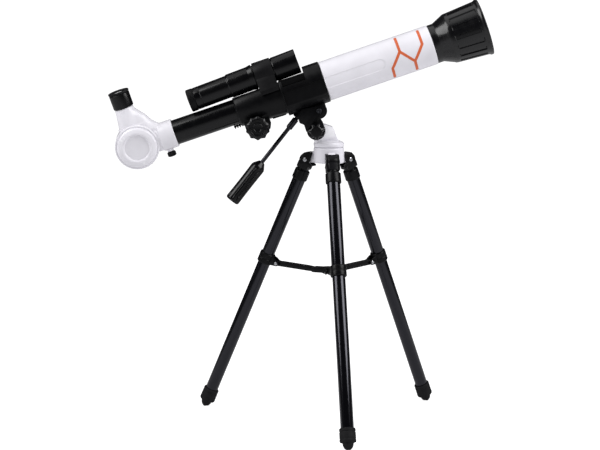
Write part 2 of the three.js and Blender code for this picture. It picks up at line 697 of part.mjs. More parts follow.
// ---------------------------------------------------------------- star diagonal parts
function diagonalBody() {
  const drum = turnedY([
    [0, -DRUM_HALF], [DRUM_R - 1.6, -DRUM_HALF], [DRUM_R, -DRUM_HALF + 1.6],
    [DRUM_R, DRUM_HALF - 1.6], [DRUM_R - 1.6, DRUM_HALF], [0, DRUM_HALF],
  ], FINE);
  const collar = turnedX([
    [0, 10], [13, 10], [13, 23.6], [14.3, 24.8], [14.35, COLLAR_FRONT], [0, COLLAR_FRONT],
  ], FINE);
  const neck = turned([
    [0, 12], [12.9, 12], [12.9, 20], [11.9, 21.2], [9.4, 38], [9.4, EYE_BASE - 0.2],
    [0, EYE_BASE - 0.2],
  ], MEDIUM);
  const web = plate([
    [0, 0], [30, 0], [30, 12.4], [23.6, 16.8], [17.4, 27.6], [9.2, 37.4], [0, 37.4],
  ], -8.6, 8.6);
  const boss = turned([[0, -16.2], [2.9, -16.2], [3.2, -15.9], [3.2, -12], [0, -12]], SMALL);
  const drawEnd = DRAW_BACK - DRUM_S;
  const loose = (DRAW_R + RUN_GAP) / Math.cos(Math.PI / FINE);
  const cavity = turnedY(disc(DRUM_R - 2.6, -DRUM_HALF - 1, DRUM_HALF + 1), MEDIUM);
  const carrier = moved(box(-19.5, 19.5, -9, 9, -4.8, -3), MIRROR_SEAT);
  const shell = cut(union(drum, collar, neck, web, moved(boss, translation(SCREW_X, 0, 0))), cavity);
  return cut(union(shell, carrier),
    turnedX([
      [0, 0], [10, 0], [10, drawEnd - 0.4], [loose, drawEnd - 0.4],
      [loose, 50], [0, 50],
    ], FINE),
    turned([[0, 0], [7, 0], [7, 23.5], [8.06, 23.5], [8.06, 50], [0, 50]], MEDIUM),
    moved(turned(bore(SCREW_R, -30, -10), SMALL), translation(SCREW_X, 0, 0)));
}

const MIRROR_SEAT = translation(-3, 0, -3).multiply(new THREE.Matrix4().makeRotationY(45 * DEG));

function diagonalMirror() {
  return moved(box(-12, 12, -9, 9, -2.7, -0.7), MIRROR_SEAT);
}

function diagonalCap() {
  return turnedY([
    [0, 13.5], [19.4, 13.5], [19.4, 14.4], [14.8, 16.8], [13.6, 16.7], [11.8, 14.8], [0, 14.8],
  ], FINE);
}

function thumbScrew() {
  const ridges = 10;
  const carve = lobedRadius(ridges, 0.6);
  const head = turned([
    [0, -21.6], [3.8, -21.6], [4.5, -20.9], [4.5, -17.4], [3.9, -16.7], [0, -16.7],
  ], ridges * 2, (r, row, t) => (r > 4 ? carve(r, row, t) : r));
  return moved(union(head, turned(disc(SCREW_R, -17, -12.75), SMALL)), translation(SCREW_X, 0, 0));
}

function eyepieceBody() {
  return turned([
    [6.8, 24.6], [8, 24.6], [8, EYE_BASE + 0.1], [10.3, EYE_BASE + 0.1], [10.3, 54.8], [8.6, 54.8],
    [8.6, 51], [6.8, 51],
  ], MEDIUM);
}

function eyeLens() {
  return turned(lens(8.3, 51.9, 52.9, 0.7), COARSE);
}

function eyecup() {
  return turned([
    [8.4, 55.1], [10.6, 55.1], [10.5, 57], [9.7, EYE_TOP], [7.8, 55.9],
  ], MEDIUM);
}

// ---------------------------------------------------------------- finder parts
function finderBody() {
  return turnedX([
    [9, -72.2], [11.2, -72.2], [11.2, -37.2], [12.05, -35.6], [12.1, -14.2], [12.9, -10.6],
    [12.9, -10.1], [11.6, -10.1], [11.6, 10.1], [12.2, 10.1], [12.4, 35.4], [11.4, 35.4], [11.2, 31],
    [9.8, 31], [9.8, -66], [9, -66],
  ], MEDIUM);
}

function finderEyeRing() {
  const ribs = 20;
  const carve = lobedRadius(ribs, 0.5);
  return turnedX([
    [7.6, -79.4], [11.4, -79.4], [11.4, -72.5], [8.7, -72.5], [8.7, -69], [7.6, -69],
  ], ribs * 2, 0, 0, (r, row, t) => (r > 10 ? carve(r, row, t) : r));
}

function finderObjective() {
  return turnedX(lens(10.9, 31.9, 32.8, 0.8), COARSE);
}

function finderEyeLens() {
  return turnedX(lens(9.3, -65.3, -64.6, 0.4), COARSE);
}

// Drawn in the tube's frame: cheeks grip the housing and a ring holds the finder.
function finderBracket() {
  const back = -63.1;
  const front = SLEEVE_BACK - 0.8;
  const midU = FINDER_MID_U;
  const half = [
    [18.6, 7], [18.6, 11.5], [14, 22], ...arc(0, midU, 13.3, -5, 90, 6),
  ];
  const outline = [...half, ...half.slice(0, -1).reverse().map(([y, z]) => [-y, z])];
  const block = moved(plate(outline, back, front), new THREE.Matrix4().makeRotationZ(-90 * DEG));
  const bore = moved(turnedX(disc(11.8, -60, 60), MEDIUM),
    translation(FINDER_MID_S, 0, midU).multiply(new THREE.Matrix4().makeRotationY(-FINDER_TILT * DEG)));
  return cut(block, bore,
    turnedX(disc(18.6, -100, 20), FINE).intersect(box(-100, 20, -30, 30, 0, FLAT_U + 0.3)));
}

// ---------------------------------------------------------------- assembly
add('tripod_hub', tripodHub(), WHITE);
add('pan_axle', panAxle(), STEEL);
for (let i = 0; i < LEG_COUNT; i += 1) {
  const n = i + 1;
  const upright = legTurn(i).multiply(translation(HINGE_R, 0, HINGE_Z));
  add(`leg_pin_${n}`, legPin(), STEEL, upright);
  add(`leg_knuckle_${n}`, legKnuckle(), BLACK, legFrame(i));
  add(`leg_upper_tube_${n}`, legUpperTube(), SATIN_BLACK, legFrame(i));
  add(`leg_collar_${n}`, legCollar(), BLACK, legFrame(i));
  add(`leg_lower_tube_${n}`, legLowerTube(), SATIN_BLACK, legFrame(i));
  add(`leg_foot_${n}`, cut(legFoot(), floorCut(i)), RUBBER, legFrame(i));
  add(`spreader_pin_${n}`, armPin(), STEEL, legFrame(i));
  add(`spreader_arm_${n}`, spreaderArm(), BLACK, armFrame(i));
}
add('spreader_hub', spreaderHub(), BLACK);

add('pan_turret', panTurret(), WHITE);
add('tilt_head', tiltHead(), BLACK, TUBE_FRAME);
add('mount_shoe', mountShoe(), BLACK, TUBE_FRAME);
add('saddle_bolt', saddleBolt(), STEEL, TUBE_FRAME);
add('tilt_bolt', tiltBolt(), STEEL, TUBE_FRAME);
add('tilt_knob', tiltKnob(), BLACK, TUBE_FRAME);
add('handle_ferrule', handleFerrule(), SATIN_BLACK, HANDLE_FRAME);
add('handle_rod', handleRod(), SATIN_BLACK, HANDLE_FRAME);
add('handle_grip', handleGrip(), BLACK, HANDLE_FRAME);

add('focuser_housing', focuserHousing(), BLACK, TUBE_FRAME);
add('main_tube', mainTube(), WHITE, TUBE_FRAME);
add('dew_shield', dewShield(), BLACK, TUBE_FRAME);
add('objective_lens', objectiveLens(), GLASS, TUBE_FRAME);
add('lens_ring', lensRing(), BLACK, TUBE_FRAME);
add('drawtube', drawtube(), SATIN_BLACK, TUBE_FRAME);
add('drawtube_rack', drawtubeRack(), BLACK, TUBE_FRAME);
add('focus_shaft', focusShaft(), STEEL, TUBE_FRAME);
add('focus_knob_far', focusKnob(), BLACK, TUBE_FRAME);
add('focus_knob_near', moved(focusKnob(), new THREE.Matrix4().makeScale(1, -1, 1)), BLACK, TUBE_FRAME);

add('diagonal_body', diagonalBody(), WHITE, DIAGONAL_FRAME);
add('diagonal_mirror', diagonalMirror(), MIRROR, DIAGONAL_FRAME);
add('diagonal_cap_far', diagonalCap(), WHITE, DIAGONAL_FRAME);
add('diagonal_cap_near', moved(diagonalCap(), new THREE.Matrix4().makeScale(1, -1, 1)), WHITE, DIAGONAL_FRAME);
add('thumb_screw', thumbScrew(), BLACK, DIAGONAL_FRAME);
add('eyepiece_body', eyepieceBody(), BLACK, DIAGONAL_FRAME);
add('eye_lens', eyeLens(), GLASS, DIAGONAL_FRAME);
add('eyecup', eyecup(), RUBBER, DIAGONAL_FRAME);

add('finder_body', finderBody(), BLACK, FINDER_FRAME);
add('finder_eye_ring', finderEyeRing(), BLACK, FINDER_FRAME);
add('finder_objective', finderObjective(), GLASS, FINDER_FRAME);
add('finder_eye_lens', finderEyeLens(), GLASS, FINDER_FRAME);
add('finder_bracket', finderBracket(), BLACK, TUBE_FRAME);

export default group;
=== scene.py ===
"""Looks for a small refracting telescope on a folding tabletop tripod.

Lengths in the piece builders are millimetres in the frame of the body they belong to:
  TUBE      origin where the white tube leaves the housing, X to the objective, Z up across the tube
  DIAGONAL  origin at the middle of the diagonal's drum, X to the drawtube, Z to the eyepiece
  FINDER    origin under the middle of the finder's bracket, X along the finder
  HANDLE    origin at the handle's socket, X along the handle
  LEG       origin at the leg's hinge, Z up the leg, X outwards
  PAN       origin under the tripod's axis at floor level, axes as the world's
"""

import json
import math

import bpy
from mathutils import Matrix, Vector


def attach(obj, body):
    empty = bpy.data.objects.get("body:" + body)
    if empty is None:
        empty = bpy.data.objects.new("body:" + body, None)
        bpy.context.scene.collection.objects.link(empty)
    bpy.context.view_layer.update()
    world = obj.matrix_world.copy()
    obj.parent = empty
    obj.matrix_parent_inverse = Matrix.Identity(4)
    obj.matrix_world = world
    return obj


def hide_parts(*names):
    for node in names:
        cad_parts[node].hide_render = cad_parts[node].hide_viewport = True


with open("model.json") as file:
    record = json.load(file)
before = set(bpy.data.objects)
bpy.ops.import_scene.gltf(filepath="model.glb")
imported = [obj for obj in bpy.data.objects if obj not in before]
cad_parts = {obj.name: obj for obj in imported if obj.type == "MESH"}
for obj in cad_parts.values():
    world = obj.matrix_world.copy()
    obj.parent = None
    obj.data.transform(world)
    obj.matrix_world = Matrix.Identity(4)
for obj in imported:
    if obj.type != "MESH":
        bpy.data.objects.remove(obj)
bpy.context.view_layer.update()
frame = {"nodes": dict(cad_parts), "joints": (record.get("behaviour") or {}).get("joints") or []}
JOINTS = {j["name"]: j for j in frame["joints"]}

MM = 0.001
DEG = math.pi / 180
UP = Vector((0, 0, 1))

# ---- driving sizes
# Millimetres. _S is along the tube, _U up across it, _R a radius, _X and _Z in the part's frame.
LEGS = (1, 2, 3)
SPLAY = 23.35  # degrees
HINGE_Z = 261.99  # 0.01 below the legs' hinges, so the soles stay just off the floor
SOLE_TOP = -280.5
COLLAR_PIN_X, COLLAR_PIN_Z = -13.4, -111
TURN_S = -170  # the stated point of diagonal_turn
FINDER_TURN_X = -76  # the stated point of finder_focus_turn
SLEEVE_R = 20.9
SLEEVE_BACK = -43.8
RING_BACK = -17
HOUSING_BACK = -92
SADDLE_U = 14.4
FLAT_U = 13.45
SLOT_FLOOR = 18.2
TUBE_R = 20
DRAW_R = 12.5
DRAW_BACK = -169
DRAW_FRONT = -30
KNOB_S = -76.8
KNOB_U = -21
PINION_R = 5.6
PINION_TEETH = 14
DRUM_S = -195.8
DRUM_R = 22.1
DRUM_HALF = 13.2
SCREW_X = 29.3
FINDER_U = 26.95
PIVOT_S = -23.4
PIVOT_U = -42.9
LUG_S = -14.4
LUG_U = -25.2
HEAD_IN = 7.6
HEAD_OUT = 11.2


# ---- frames
def frame_at(origin, x_axis, z_axis):
    """A rigid frame from an origin in metres, its X axis and roughly its Z axis."""
    x = Vector(x_axis).normalized()
    y = Vector(z_axis).cross(x).normalized()
    z = x.cross(y)
    rotation = Matrix((x, y, z)).transposed().to_4x4()
    return Matrix.Translation(Vector(origin)) @ rotation


def along(joint, distance):
    """A point on a joint's axis, distance mm on from the joint's stated point."""
    j = JOINTS[joint]
    return Vector(j["pos_m"]) + Vector(j["axis"]) * distance * MM


TUBE = frame_at(along("diagonal_turn", -TURN_S), JOINTS["diagonal_turn"]["axis"], UP)
DIAGONAL = frame_at(along("diagonal_turn", DRUM_S - TURN_S), JOINTS["diagonal_turn"]["axis"],
                    JOINTS["eyepiece_pull"]["axis"])
FINDER = frame_at(along("finder_focus_turn", -FINDER_TURN_X), JOINTS["finder_focus_turn"]["axis"], UP)
HANDLE = frame_at(JOINTS["handle_twist"]["pos_m"], JOINTS["handle_twist"]["axis"], UP)
PAN = Matrix.Translation(Vector(JOINTS["pan"]["pos_m"]) * Vector((1, 1, 0)))


def leg_turn(n):
    """Upright frame on the tripod's axis at floor level, X out towards leg n."""
    tangent = Vector(JOINTS[f"leg_{n}_fold"]["axis"])
    return frame_at(PAN.translation, tangent.cross(UP), UP)


def place_in(child, parent):
    """The child frame's mm matrix inside the parent frame."""
    local = parent.inverted() @ child
    local.translation = local.translation / MM
    return local


def leg_frame(n):
    j = JOINTS[f"leg_{n}_fold"]
    out = Vector(j["axis"]).cross(UP)
    s, c = math.sin(SPLAY * DEG), math.cos(SPLAY * DEG)
    return frame_at(j["pos_m"], out * c + UP * s, UP * c - out * s)


# ---- colours
def srgb(r, g, b):
    """An 8-bit display colour as linear RGBA."""
    def linear(v):
        v /= 255
        return v / 12.92 if v <= 0.04045 else ((v + 0.055) / 1.055) ** 2.4
    return (linear(r), linear(g), linear(b), 1)


def scaled(color, factor):
    return tuple(factor * c for c in color[:3]) + (1,)


# ---- materials
class Nodes:
    """Short calls for building one material's node tree. Patterns follow the piece's own frame,
    which make_piece stores on the mesh, or the object's frame where there is none."""

    def __init__(self, name, own=True):
        self.material = bpy.data.materials.new(name)
        self.material.use_nodes = True
        self.tree = self.material.node_tree
        self.shader = self.tree.nodes["Principled BSDF"]
        if own:
            stored = self.tree.nodes.new("ShaderNodeAttribute")
            stored.attribute_name = "own"
            self.coords = stored.outputs["Vector"]
        else:
            self.coords = self.tree.nodes.new("ShaderNodeTexCoord").outputs["Object"]

    def link(self, output, node, socket):
        self.tree.links.new(output, node.inputs[socket])

    def noise(self, scale, detail=3, stretch=(1, 1, 1)):
        """Fractal noise, scale in features per metre, 0 to 1."""
        mapping = self.tree.nodes.new("ShaderNodeMapping")
        mapping.inputs["Scale"].default_value = stretch
        self.link(self.coords, mapping, "Vector")
        node = self.tree.nodes.new("ShaderNodeTexNoise")
        node.inputs["Scale"].default_value = scale
        node.inputs["Detail"].default_value = detail
        self.link(mapping.outputs["Vector"], node, "Vector")
        return node.outputs["Fac"]

    def remap(self, value, low, high, start=0.3, end=0.7):
        node = self.tree.nodes.new("ShaderNodeMapRange")
        for socket, number in zip(("From Min", "From Max", "To Min", "To Max"), (start, end, low, high)):
            node.inputs[socket].default_value = number
        self.link(value, node, "Value")
        return node.outputs["Result"]

    def mix(self, factor, first, second):
        node = self.tree.nodes.new("ShaderNodeMix")
        node.data_type = "RGBA"
        self.link(factor, node, "Factor")
        for socket, value in (("A", first), ("B", second)):
            spot = [i for i in node.inputs if i.name == socket and i.type == "RGBA"][0]
            if isinstance(value, tuple):
                spot.default_value = value
            else:
                self.tree.links.new(value, spot)
        return [o for o in node.outputs if o.type == "RGBA"][0]

    def edges(self, low=0.52, high=0.6):
        """1 on raised edges, 0 on flat ground."""
        geometry = self.tree.nodes.new("ShaderNodeNewGeometry")
        return self.remap(geometry.outputs["Pointiness"], 0, 1, low, high)

    def bump(self, height, distance, strength, below=None):
        node = self.tree.nodes.new("ShaderNodeBump")
        node.inputs["Distance"].default_value = distance
        node.inputs["Strength"].default_value = strength
        self.link(height, node, "Height")
        if below is not None:
            self.link(below, node, "Normal")
        return node.outputs["Normal"]

    def finish(self, color, roughness, normal, **constants):
        self.link(color, self.shader, "Base Color")
        self.link(roughness, self.shader, "Roughness")
        self.link(normal, self.shader, "Normal")
        for socket, value in constants.items():
            self.shader.inputs[socket.replace("_", " ")].default_value = value
        return self.material


def moulded(name, color, worn, roughness, grain, depth, specular, coat=0.0):
    """Injection-moulded plastic: slow colour drift, fine grain, paler rubbed edges."""
    n = Nodes(name)
    drift = n.mix(n.remap(n.noise(38), 0, 1), color, scaled(color, 0.9))
    base = n.mix(n.edges(), drift, worn)
    rough = n.remap(n.noise(160, 4), roughness - 0.05, roughness + 0.07)
    flow = n.bump(n.noise(24), 0.0002, 0.1)
    normal = n.bump(n.noise(grain, 2), depth, 0.5, flow)
    return n.finish(base, rough, normal, Specular_IOR_Level=specular, Coat_Weight=coat,
                    Coat_Roughness=0.12)


def painted_tube(name, color, roughness):
    """Stove-enamelled metal tube: lengthwise drawing lines under a gloss coat."""
    n = Nodes(name)
    lines = n.noise(900, 3, (1, 1, 0.012))
    base = n.mix(n.remap(n.noise(55), 0, 1), color, scaled(color, 0.8))
    rough = n.remap(lines, roughness - 0.03, roughness + 0.04)
    normal = n.bump(lines, 0.000008, 0.25, n.bump(n.noise(420, 2), 0.00001, 0.2))
    return n.finish(base, rough, normal, Metallic=0.0, Specular_IOR_Level=0.46, Coat_Weight=0.2,
                    Coat_Roughness=0.12, Specular_Tint=(0.86, 0.86, 1.0, 1))


def rubber(name, color):
    n = Nodes(name)
    dust = n.mix(n.remap(n.noise(300, 4), 0, 1, 0.55, 0.8), color, scaled(color, 1.5))
    rough = n.remap(n.noise(240, 3), 0.55, 0.75)
    normal = n.bump(n.noise(1800, 2), 0.00002, 0.35)
    return n.finish(dust, rough, normal, Specular_IOR_Level=0.2)


def plated_steel(name, color, roughness, own=True):
    """Bright plated steel with fine turning marks."""
    n = Nodes(name, own)
    marks = n.noise(3200, 2, (1, 0.08, 1))
    base = n.mix(n.remap(n.noise(500), 0, 1), color, scaled(color, 0.8))
    rough = n.remap(marks, roughness - 0.06, roughness + 0.08)
    return n.finish(base, rough, n.bump(marks, 0.00002, 0.4), Metallic=1.0)


def optical_glass(name, tint):
    """Coated lens glass, a little bluish, with faint dust."""
    n = Nodes(name)
    base = n.mix(n.remap(n.noise(90), 0, 1), tint, scaled(tint, 0.9))
    rough = n.remap(n.noise(700, 5), 0.02, 0.06, 0.5, 0.8)
    return n.finish(base, rough, n.bump(n.noise(60), 0.00001, 0.1), Transmission_Weight=1.0,
                    IOR=1.52, Coat_Weight=0.5, Coat_Tint=(0.5, 0.6, 1.0, 1))


def silvered(name):
    n = Nodes(name)
    base = n.mix(n.remap(n.noise(120), 0, 1), srgb(225, 228, 232), srgb(214, 218, 224))
    rough = n.remap(n.noise(900, 4), 0.02, 0.07, 0.5, 0.8)
    return n.finish(base, rough, n.bump(n.noise(80), 0.00001, 0.1), Metallic=1.0)


WHITE = moulded("white_moulded", srgb(233, 231, 238), srgb(240, 239, 244), 0.34, 1500, 0.00003, 0.5, 0.25)
HEAD_WHITE = moulded("translucent_white_moulded", srgb(235, 233, 241), srgb(243, 242, 247),
                     0.38, 1100, 0.00004, 0.5, 0.15)
BLACK = moulded("black_moulded", srgb(6, 6, 8), srgb(18, 18, 21), 0.33, 2100, 0.00002, 0.2)
GLOSS_BLACK = moulded("glossy_black_moulded", srgb(5, 5, 7), srgb(16, 16, 19), 0.22, 1700, 0.00001, 0.3, 0.1)
SHIELD_BLACK = moulded("satin_black_moulded", srgb(6, 6, 9), srgb(18, 18, 21), 0.27, 1900, 0.00001, 0.42, 0.3)
BRACKET_BLACK = moulded("grained_black_moulded", srgb(8, 8, 10), srgb(20, 20, 23), 0.45, 1300, 0.00005, 0.2)
INNER_BLACK = moulded("matt_black_inside", srgb(9, 9, 10), srgb(14, 14, 16), 0.8, 900, 0.0002, 0.15)
LEG_PAINT = painted_tube("black_enamel", srgb(5, 5, 8), 0.17)
ROD_PAINT = painted_tube("black_enamel_rod", srgb(6, 6, 9), 0.2)
RUBBER = rubber("black_rubber", srgb(19, 19, 21))
STEEL = plated_steel("plated_steel", srgb(205, 206, 210), 0.24)
AXLE_STEEL = plated_steel("axle_steel", srgb(205, 206, 210), 0.24, own=False)
DULL_STEEL = plated_steel("dull_steel", srgb(62, 63, 68), 0.48)
GLASS = optical_glass("coated_glass", srgb(205, 216, 240))
# Painted shade: the eye lens's glass is tinted dark to stand in for the shade inside the eyepiece seen through
# the lens.
EYE_GLASS_PAINTED_SHADE = optical_glass("eye_glass_tinted_as_painted_shade", srgb(58, 62, 76))
MIRROR = silvered("silvered_glass")
ORANGE = moulded("orange_print", srgb(214, 102, 58), srgb(214, 102, 58), 0.42, 1500, 0.00002, 0.4)


# ---- mesh building
def rounded(points, radius, steps=3):
    """The outline with each corner turned into a small arc. points are 2-D; radius may be
    one number or a number per point; ends of an open outline stay put."""
    radii = radius if isinstance(radius, (list, tuple)) else [radius] * len(points)
    closed = points[0] == points[-1]
    pts = [Vector(p) for p in (points[:-1] if closed else points)]
    count = len(pts)
    out = []
    for i, p in enumerate(pts):
        if not closed and i in (0, count - 1):
            out.append(tuple(p))
            continue
        a = pts[i - 1] - p
        b = pts[(i + 1) % count] - p
        turn = math.pi - a.angle(b)
        reach = min(radii[i] * math.tan(turn / 2), 0.45 * a.length, 0.45 * b.length)
        if turn < 0.12 or reach < 1e-4:
            out.append(tuple(p))
            continue
        start, end = p + a.normalized() * reach, p + b.normalized() * reach
        for k in range(steps + 1):
            t = k / steps
            out.append(tuple(start * (1 - t) ** 2 + p * 2 * t * (1 - t) + end * t ** 2))
    return out


def make_piece(name, vertices, faces, place, body, material, replaces=(), sharp=32):
    """Adds a mesh (vertices in mm in the place frame), puts it on a body and smooths it. Each
    vertex's spot in the place frame is stored as "own", which the materials' patterns follow."""
    mesh = bpy.data.meshes.new(name)
    local = [Vector(v) * MM for v in vertices]
    mesh.from_pydata([tuple(place @ v) for v in local], [], faces)
    own = mesh.attributes.new("own", "FLOAT_VECTOR", "POINT")
    own.data.foreach_set("vector", [c for v in local for c in v])
    mesh.validate()
    mesh.materials.append(material)
    mesh.shade_smooth()
    mesh.set_sharp_from_angle(angle=sharp * DEG)
    piece = bpy.data.objects.new(name, mesh)
    bpy.context.scene.collection.objects.link(piece)
    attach(piece, body)
    if replaces:
        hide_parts(*replaces)
    return piece


def clamp(t):
    return min(1, max(0, t))


def eased(t):
    return t * t * (3 - 2 * t)


def even_angles(steps):
    return [360 * k / steps for k in range(steps)]


def revolve(profile, angles, axis="Z", offset=(0, 0, 0), shape=None):
    """Vertices and faces of a profile of (radius, height) turned about an axis.

    About X an angle of 0 is the near side (-Y) and 90 is up; about Y, 0 is +X and 90 is up;
    about Z, 0 is +X and 90 is +Y. A profile that starts and ends at radius 0 closes there;
    any other profile closes on itself. shape(radius, height, angle) may change a radius."""
    def place(r, h, a):
        c, s = math.cos(a * DEG), math.sin(a * DEG)
        point = {"X": (h, -r * c, r * s), "Y": (r * c, h, r * s), "Z": (r * c, r * s, h)}[axis]
        return tuple(p + o for p, o in zip(point, offset))

    closed = profile[0][0] > 1e-6
    vertices, rings = [], []
    for r, h in profile:
        if r < 1e-6:
            rings.append([len(vertices)] * len(angles))
            vertices.append(place(0, h, 0))
            continue
        rings.append(list(range(len(vertices), len(vertices) + len(angles))))
        vertices += [place(shape(r, h, a) if shape else r, h, a) for a in angles]
    faces = []
    count = len(angles)
    for i in range(len(rings) if closed else len(rings) - 1):
        low, high = rings[i], rings[(i + 1) % len(rings)]
        for k in range(count):
            n = (k + 1) % count
            ring = (low[k], low[n], high[n], high[k])
            face = [v for j, v in enumerate(ring) if v not in ring[:j]]
            if len(face) > 2:
                faces.append(face if axis == "Z" else face[::-1])
    return vertices, faces


def lathe(name, profile, place, body, material, replaces=(), axis="X", offset=(0, 0, 0),
          steps=96, edge=0.35, shape=None, angles=None, sharp=32):
    outline = list(profile)
    closed = outline[0][0] > 1e-6
    if closed:
        outline = outline + [outline[0]]
    outline = rounded(outline, edge)
    vertices, faces = revolve(outline, angles or even_angles(steps), axis, offset, shape)
    return make_piece(name, vertices, faces, place, body, material, replaces, sharp)


def lens_profile(radius, back, front, sag, steps=8):
    def bulge(side, face):
        return [(radius * k / steps, face + side * sag * (1 - (k / steps) ** 2)) for k in range(steps)]
    return bulge(-1, back) + [(radius, back), (radius, front)] + bulge(1, front)[::-1]


def prism(outline, low, high, edge):
    """An outline of (x, z) pushed along Y from low to high, its rims bevelled by edge."""
    area = sum(a[0] * b[1] - b[0] * a[1] for a, b in zip(outline, outline[1:] + outline[:1]))
    points = [Vector(p) for p in (outline if area > 0 else outline[::-1])]
    count = len(points)
    inset = []
    for i, p in enumerate(points):
        a = (p - points[i - 1]).normalized()
        b = (points[(i + 1) % count] - p).normalized()
        normal = Vector((-(a.y + b.y), a.x + b.x)).normalized()
        inset.append(normal / max(0.5, normal.dot(Vector((-a.y, a.x)))))
    layers = [(low, edge), (low + 0.3 * edge, 0.3 * edge), (low + edge, 0),
              (high - edge, 0), (high - 0.3 * edge, 0.3 * edge), (high, edge)]
    vertices, faces = [], []
    for y, amount in layers:
        vertices += [(p.x + n.x * amount, y, p.y + n.y * amount) for p, n in zip(points, inset)]
    for i in range(len(layers) - 1):
        for k in range(count):
            n = (k + 1) % count
            faces.append((i * count + k, (i + 1) * count + k, (i + 1) * count + n, i * count + n))
    faces.append(list(range(count)))
    last = (len(layers) - 1) * count
    faces.append([last + k for k in range(count)][::-1])
    return vertices, faces


def joined(*parts):
    """Several (vertices, faces) as one."""
    vertices, faces = [], []
    for part_vertices, part_faces in parts:
        base = len(vertices)
        vertices += part_vertices
        faces += [[base + i for i in face] for face in part_faces]
    return vertices, faces


def transformed(part, matrix):
    vertices, faces = part
    moved = [tuple(matrix @ Vector(v)) for v in vertices]
    if matrix.determinant() < 0:
        faces = [list(face)[::-1] for face in faces]
    return moved, faces


MIRROR_Y = Matrix.Diagonal((1, -1, 1, 1))


def both_sides(part):
    return joined(part, transformed(part, MIRROR_Y))


def arc(cx, cz, radius, start, end, steps):
    return [(cx + radius * math.cos(DEG * (start + (end - start) * k / steps)),
             cz + radius * math.sin(DEG * (start + (end - start) * k / steps))) for k in range(steps + 1)]


def polar(outline, centre):
    """A closed outline as a radius by angle round a centre, and the angles worth sampling."""
    points = [Vector(p) - Vector(centre) for p in outline]

    def reach(a):
        ray = Vector((math.cos(a * DEG), math.sin(a * DEG)))
        hits = []
        for p, q in zip(points, points[1:] + points[:1]):
            span = q - p
            cross = ray.x * span.y - ray.y * span.x
            if abs(cross) > 1e-9:
                distance = (p.x * span.y - p.y * span.x) / cross
                share = (p.x * ray.y - p.y * ray.x) / cross
                if distance > 0 and -1e-4 <= share <= 1 + 1e-4:
                    hits.append(distance)
        return max(hits)

    corners = {round(math.degrees(math.atan2(p.y, p.x)) % 360, 3) for p in points}
    return reach, sorted(corners | set(even_angles(120)))


def lobes(count, depth, reach):
    """Scallops round a knob, fading out below the given radius."""
    fade = 1.2

    def shape(r, h, a):
        wave = 0.5 - 0.5 * math.cos(count * a * DEG)
        return r - depth * wave ** 0.7 * clamp((r - reach) / fade)
    return shape


# ---- tripod
def lean(points):
    """From the hub's upright axes at the hinge to the leg's own axes."""
    c, s = math.cos(SPLAY * DEG), math.sin(SPLAY * DEG)
    return [(q * c + z * s, -q * s + z * c) for q, z in points]


def build_hub():
    low, high, radius = 259.3, 274.8, 15.25
    drum = revolve(rounded([
        (0, low + 0.6), (12.6, low + 0.6), (13.2, low), (radius - 0.5, low), (radius, low + 1.2),
        (radius, high - 1.6), (radius - 0.5, high), (0, high),
    ], 0.5), even_angles(96), "Z")
    half = 3.5
    lug = prism(rounded([
        (12, low), (22.6, 258.6), (26, 259.6), (26.4, 263), (24.4, 265.4), (17.6, 270), (12, 270.4), (12, low),
    ], 1.6), -half, half, 0.5)
    parts = [drum]
    for n in LEGS:
        parts.append(transformed(lug, place_in(leg_turn(n), PAN)))
    make_piece("hub", *joined(*parts), PAN, "tripod_crown", HEAD_WHITE, ["tripod_hub"])


def build_pins():
    for n in LEGS:
        lathe(f"hinge_pin_{n}", [
            (0, -7.4), (1.3, -7.4), (2.1, -7.0), (2.2, -6.65), (1.55, -6.6), (1.55, 6.6), (2.2, 6.65),
            (2.1, 7.0), (1.3, 7.4), (0, 7.4),
        ], leg_frame(n), "tripod_crown", STEEL, [f"leg_pin_{n}"], axis="Y", steps=40, edge=0.2)


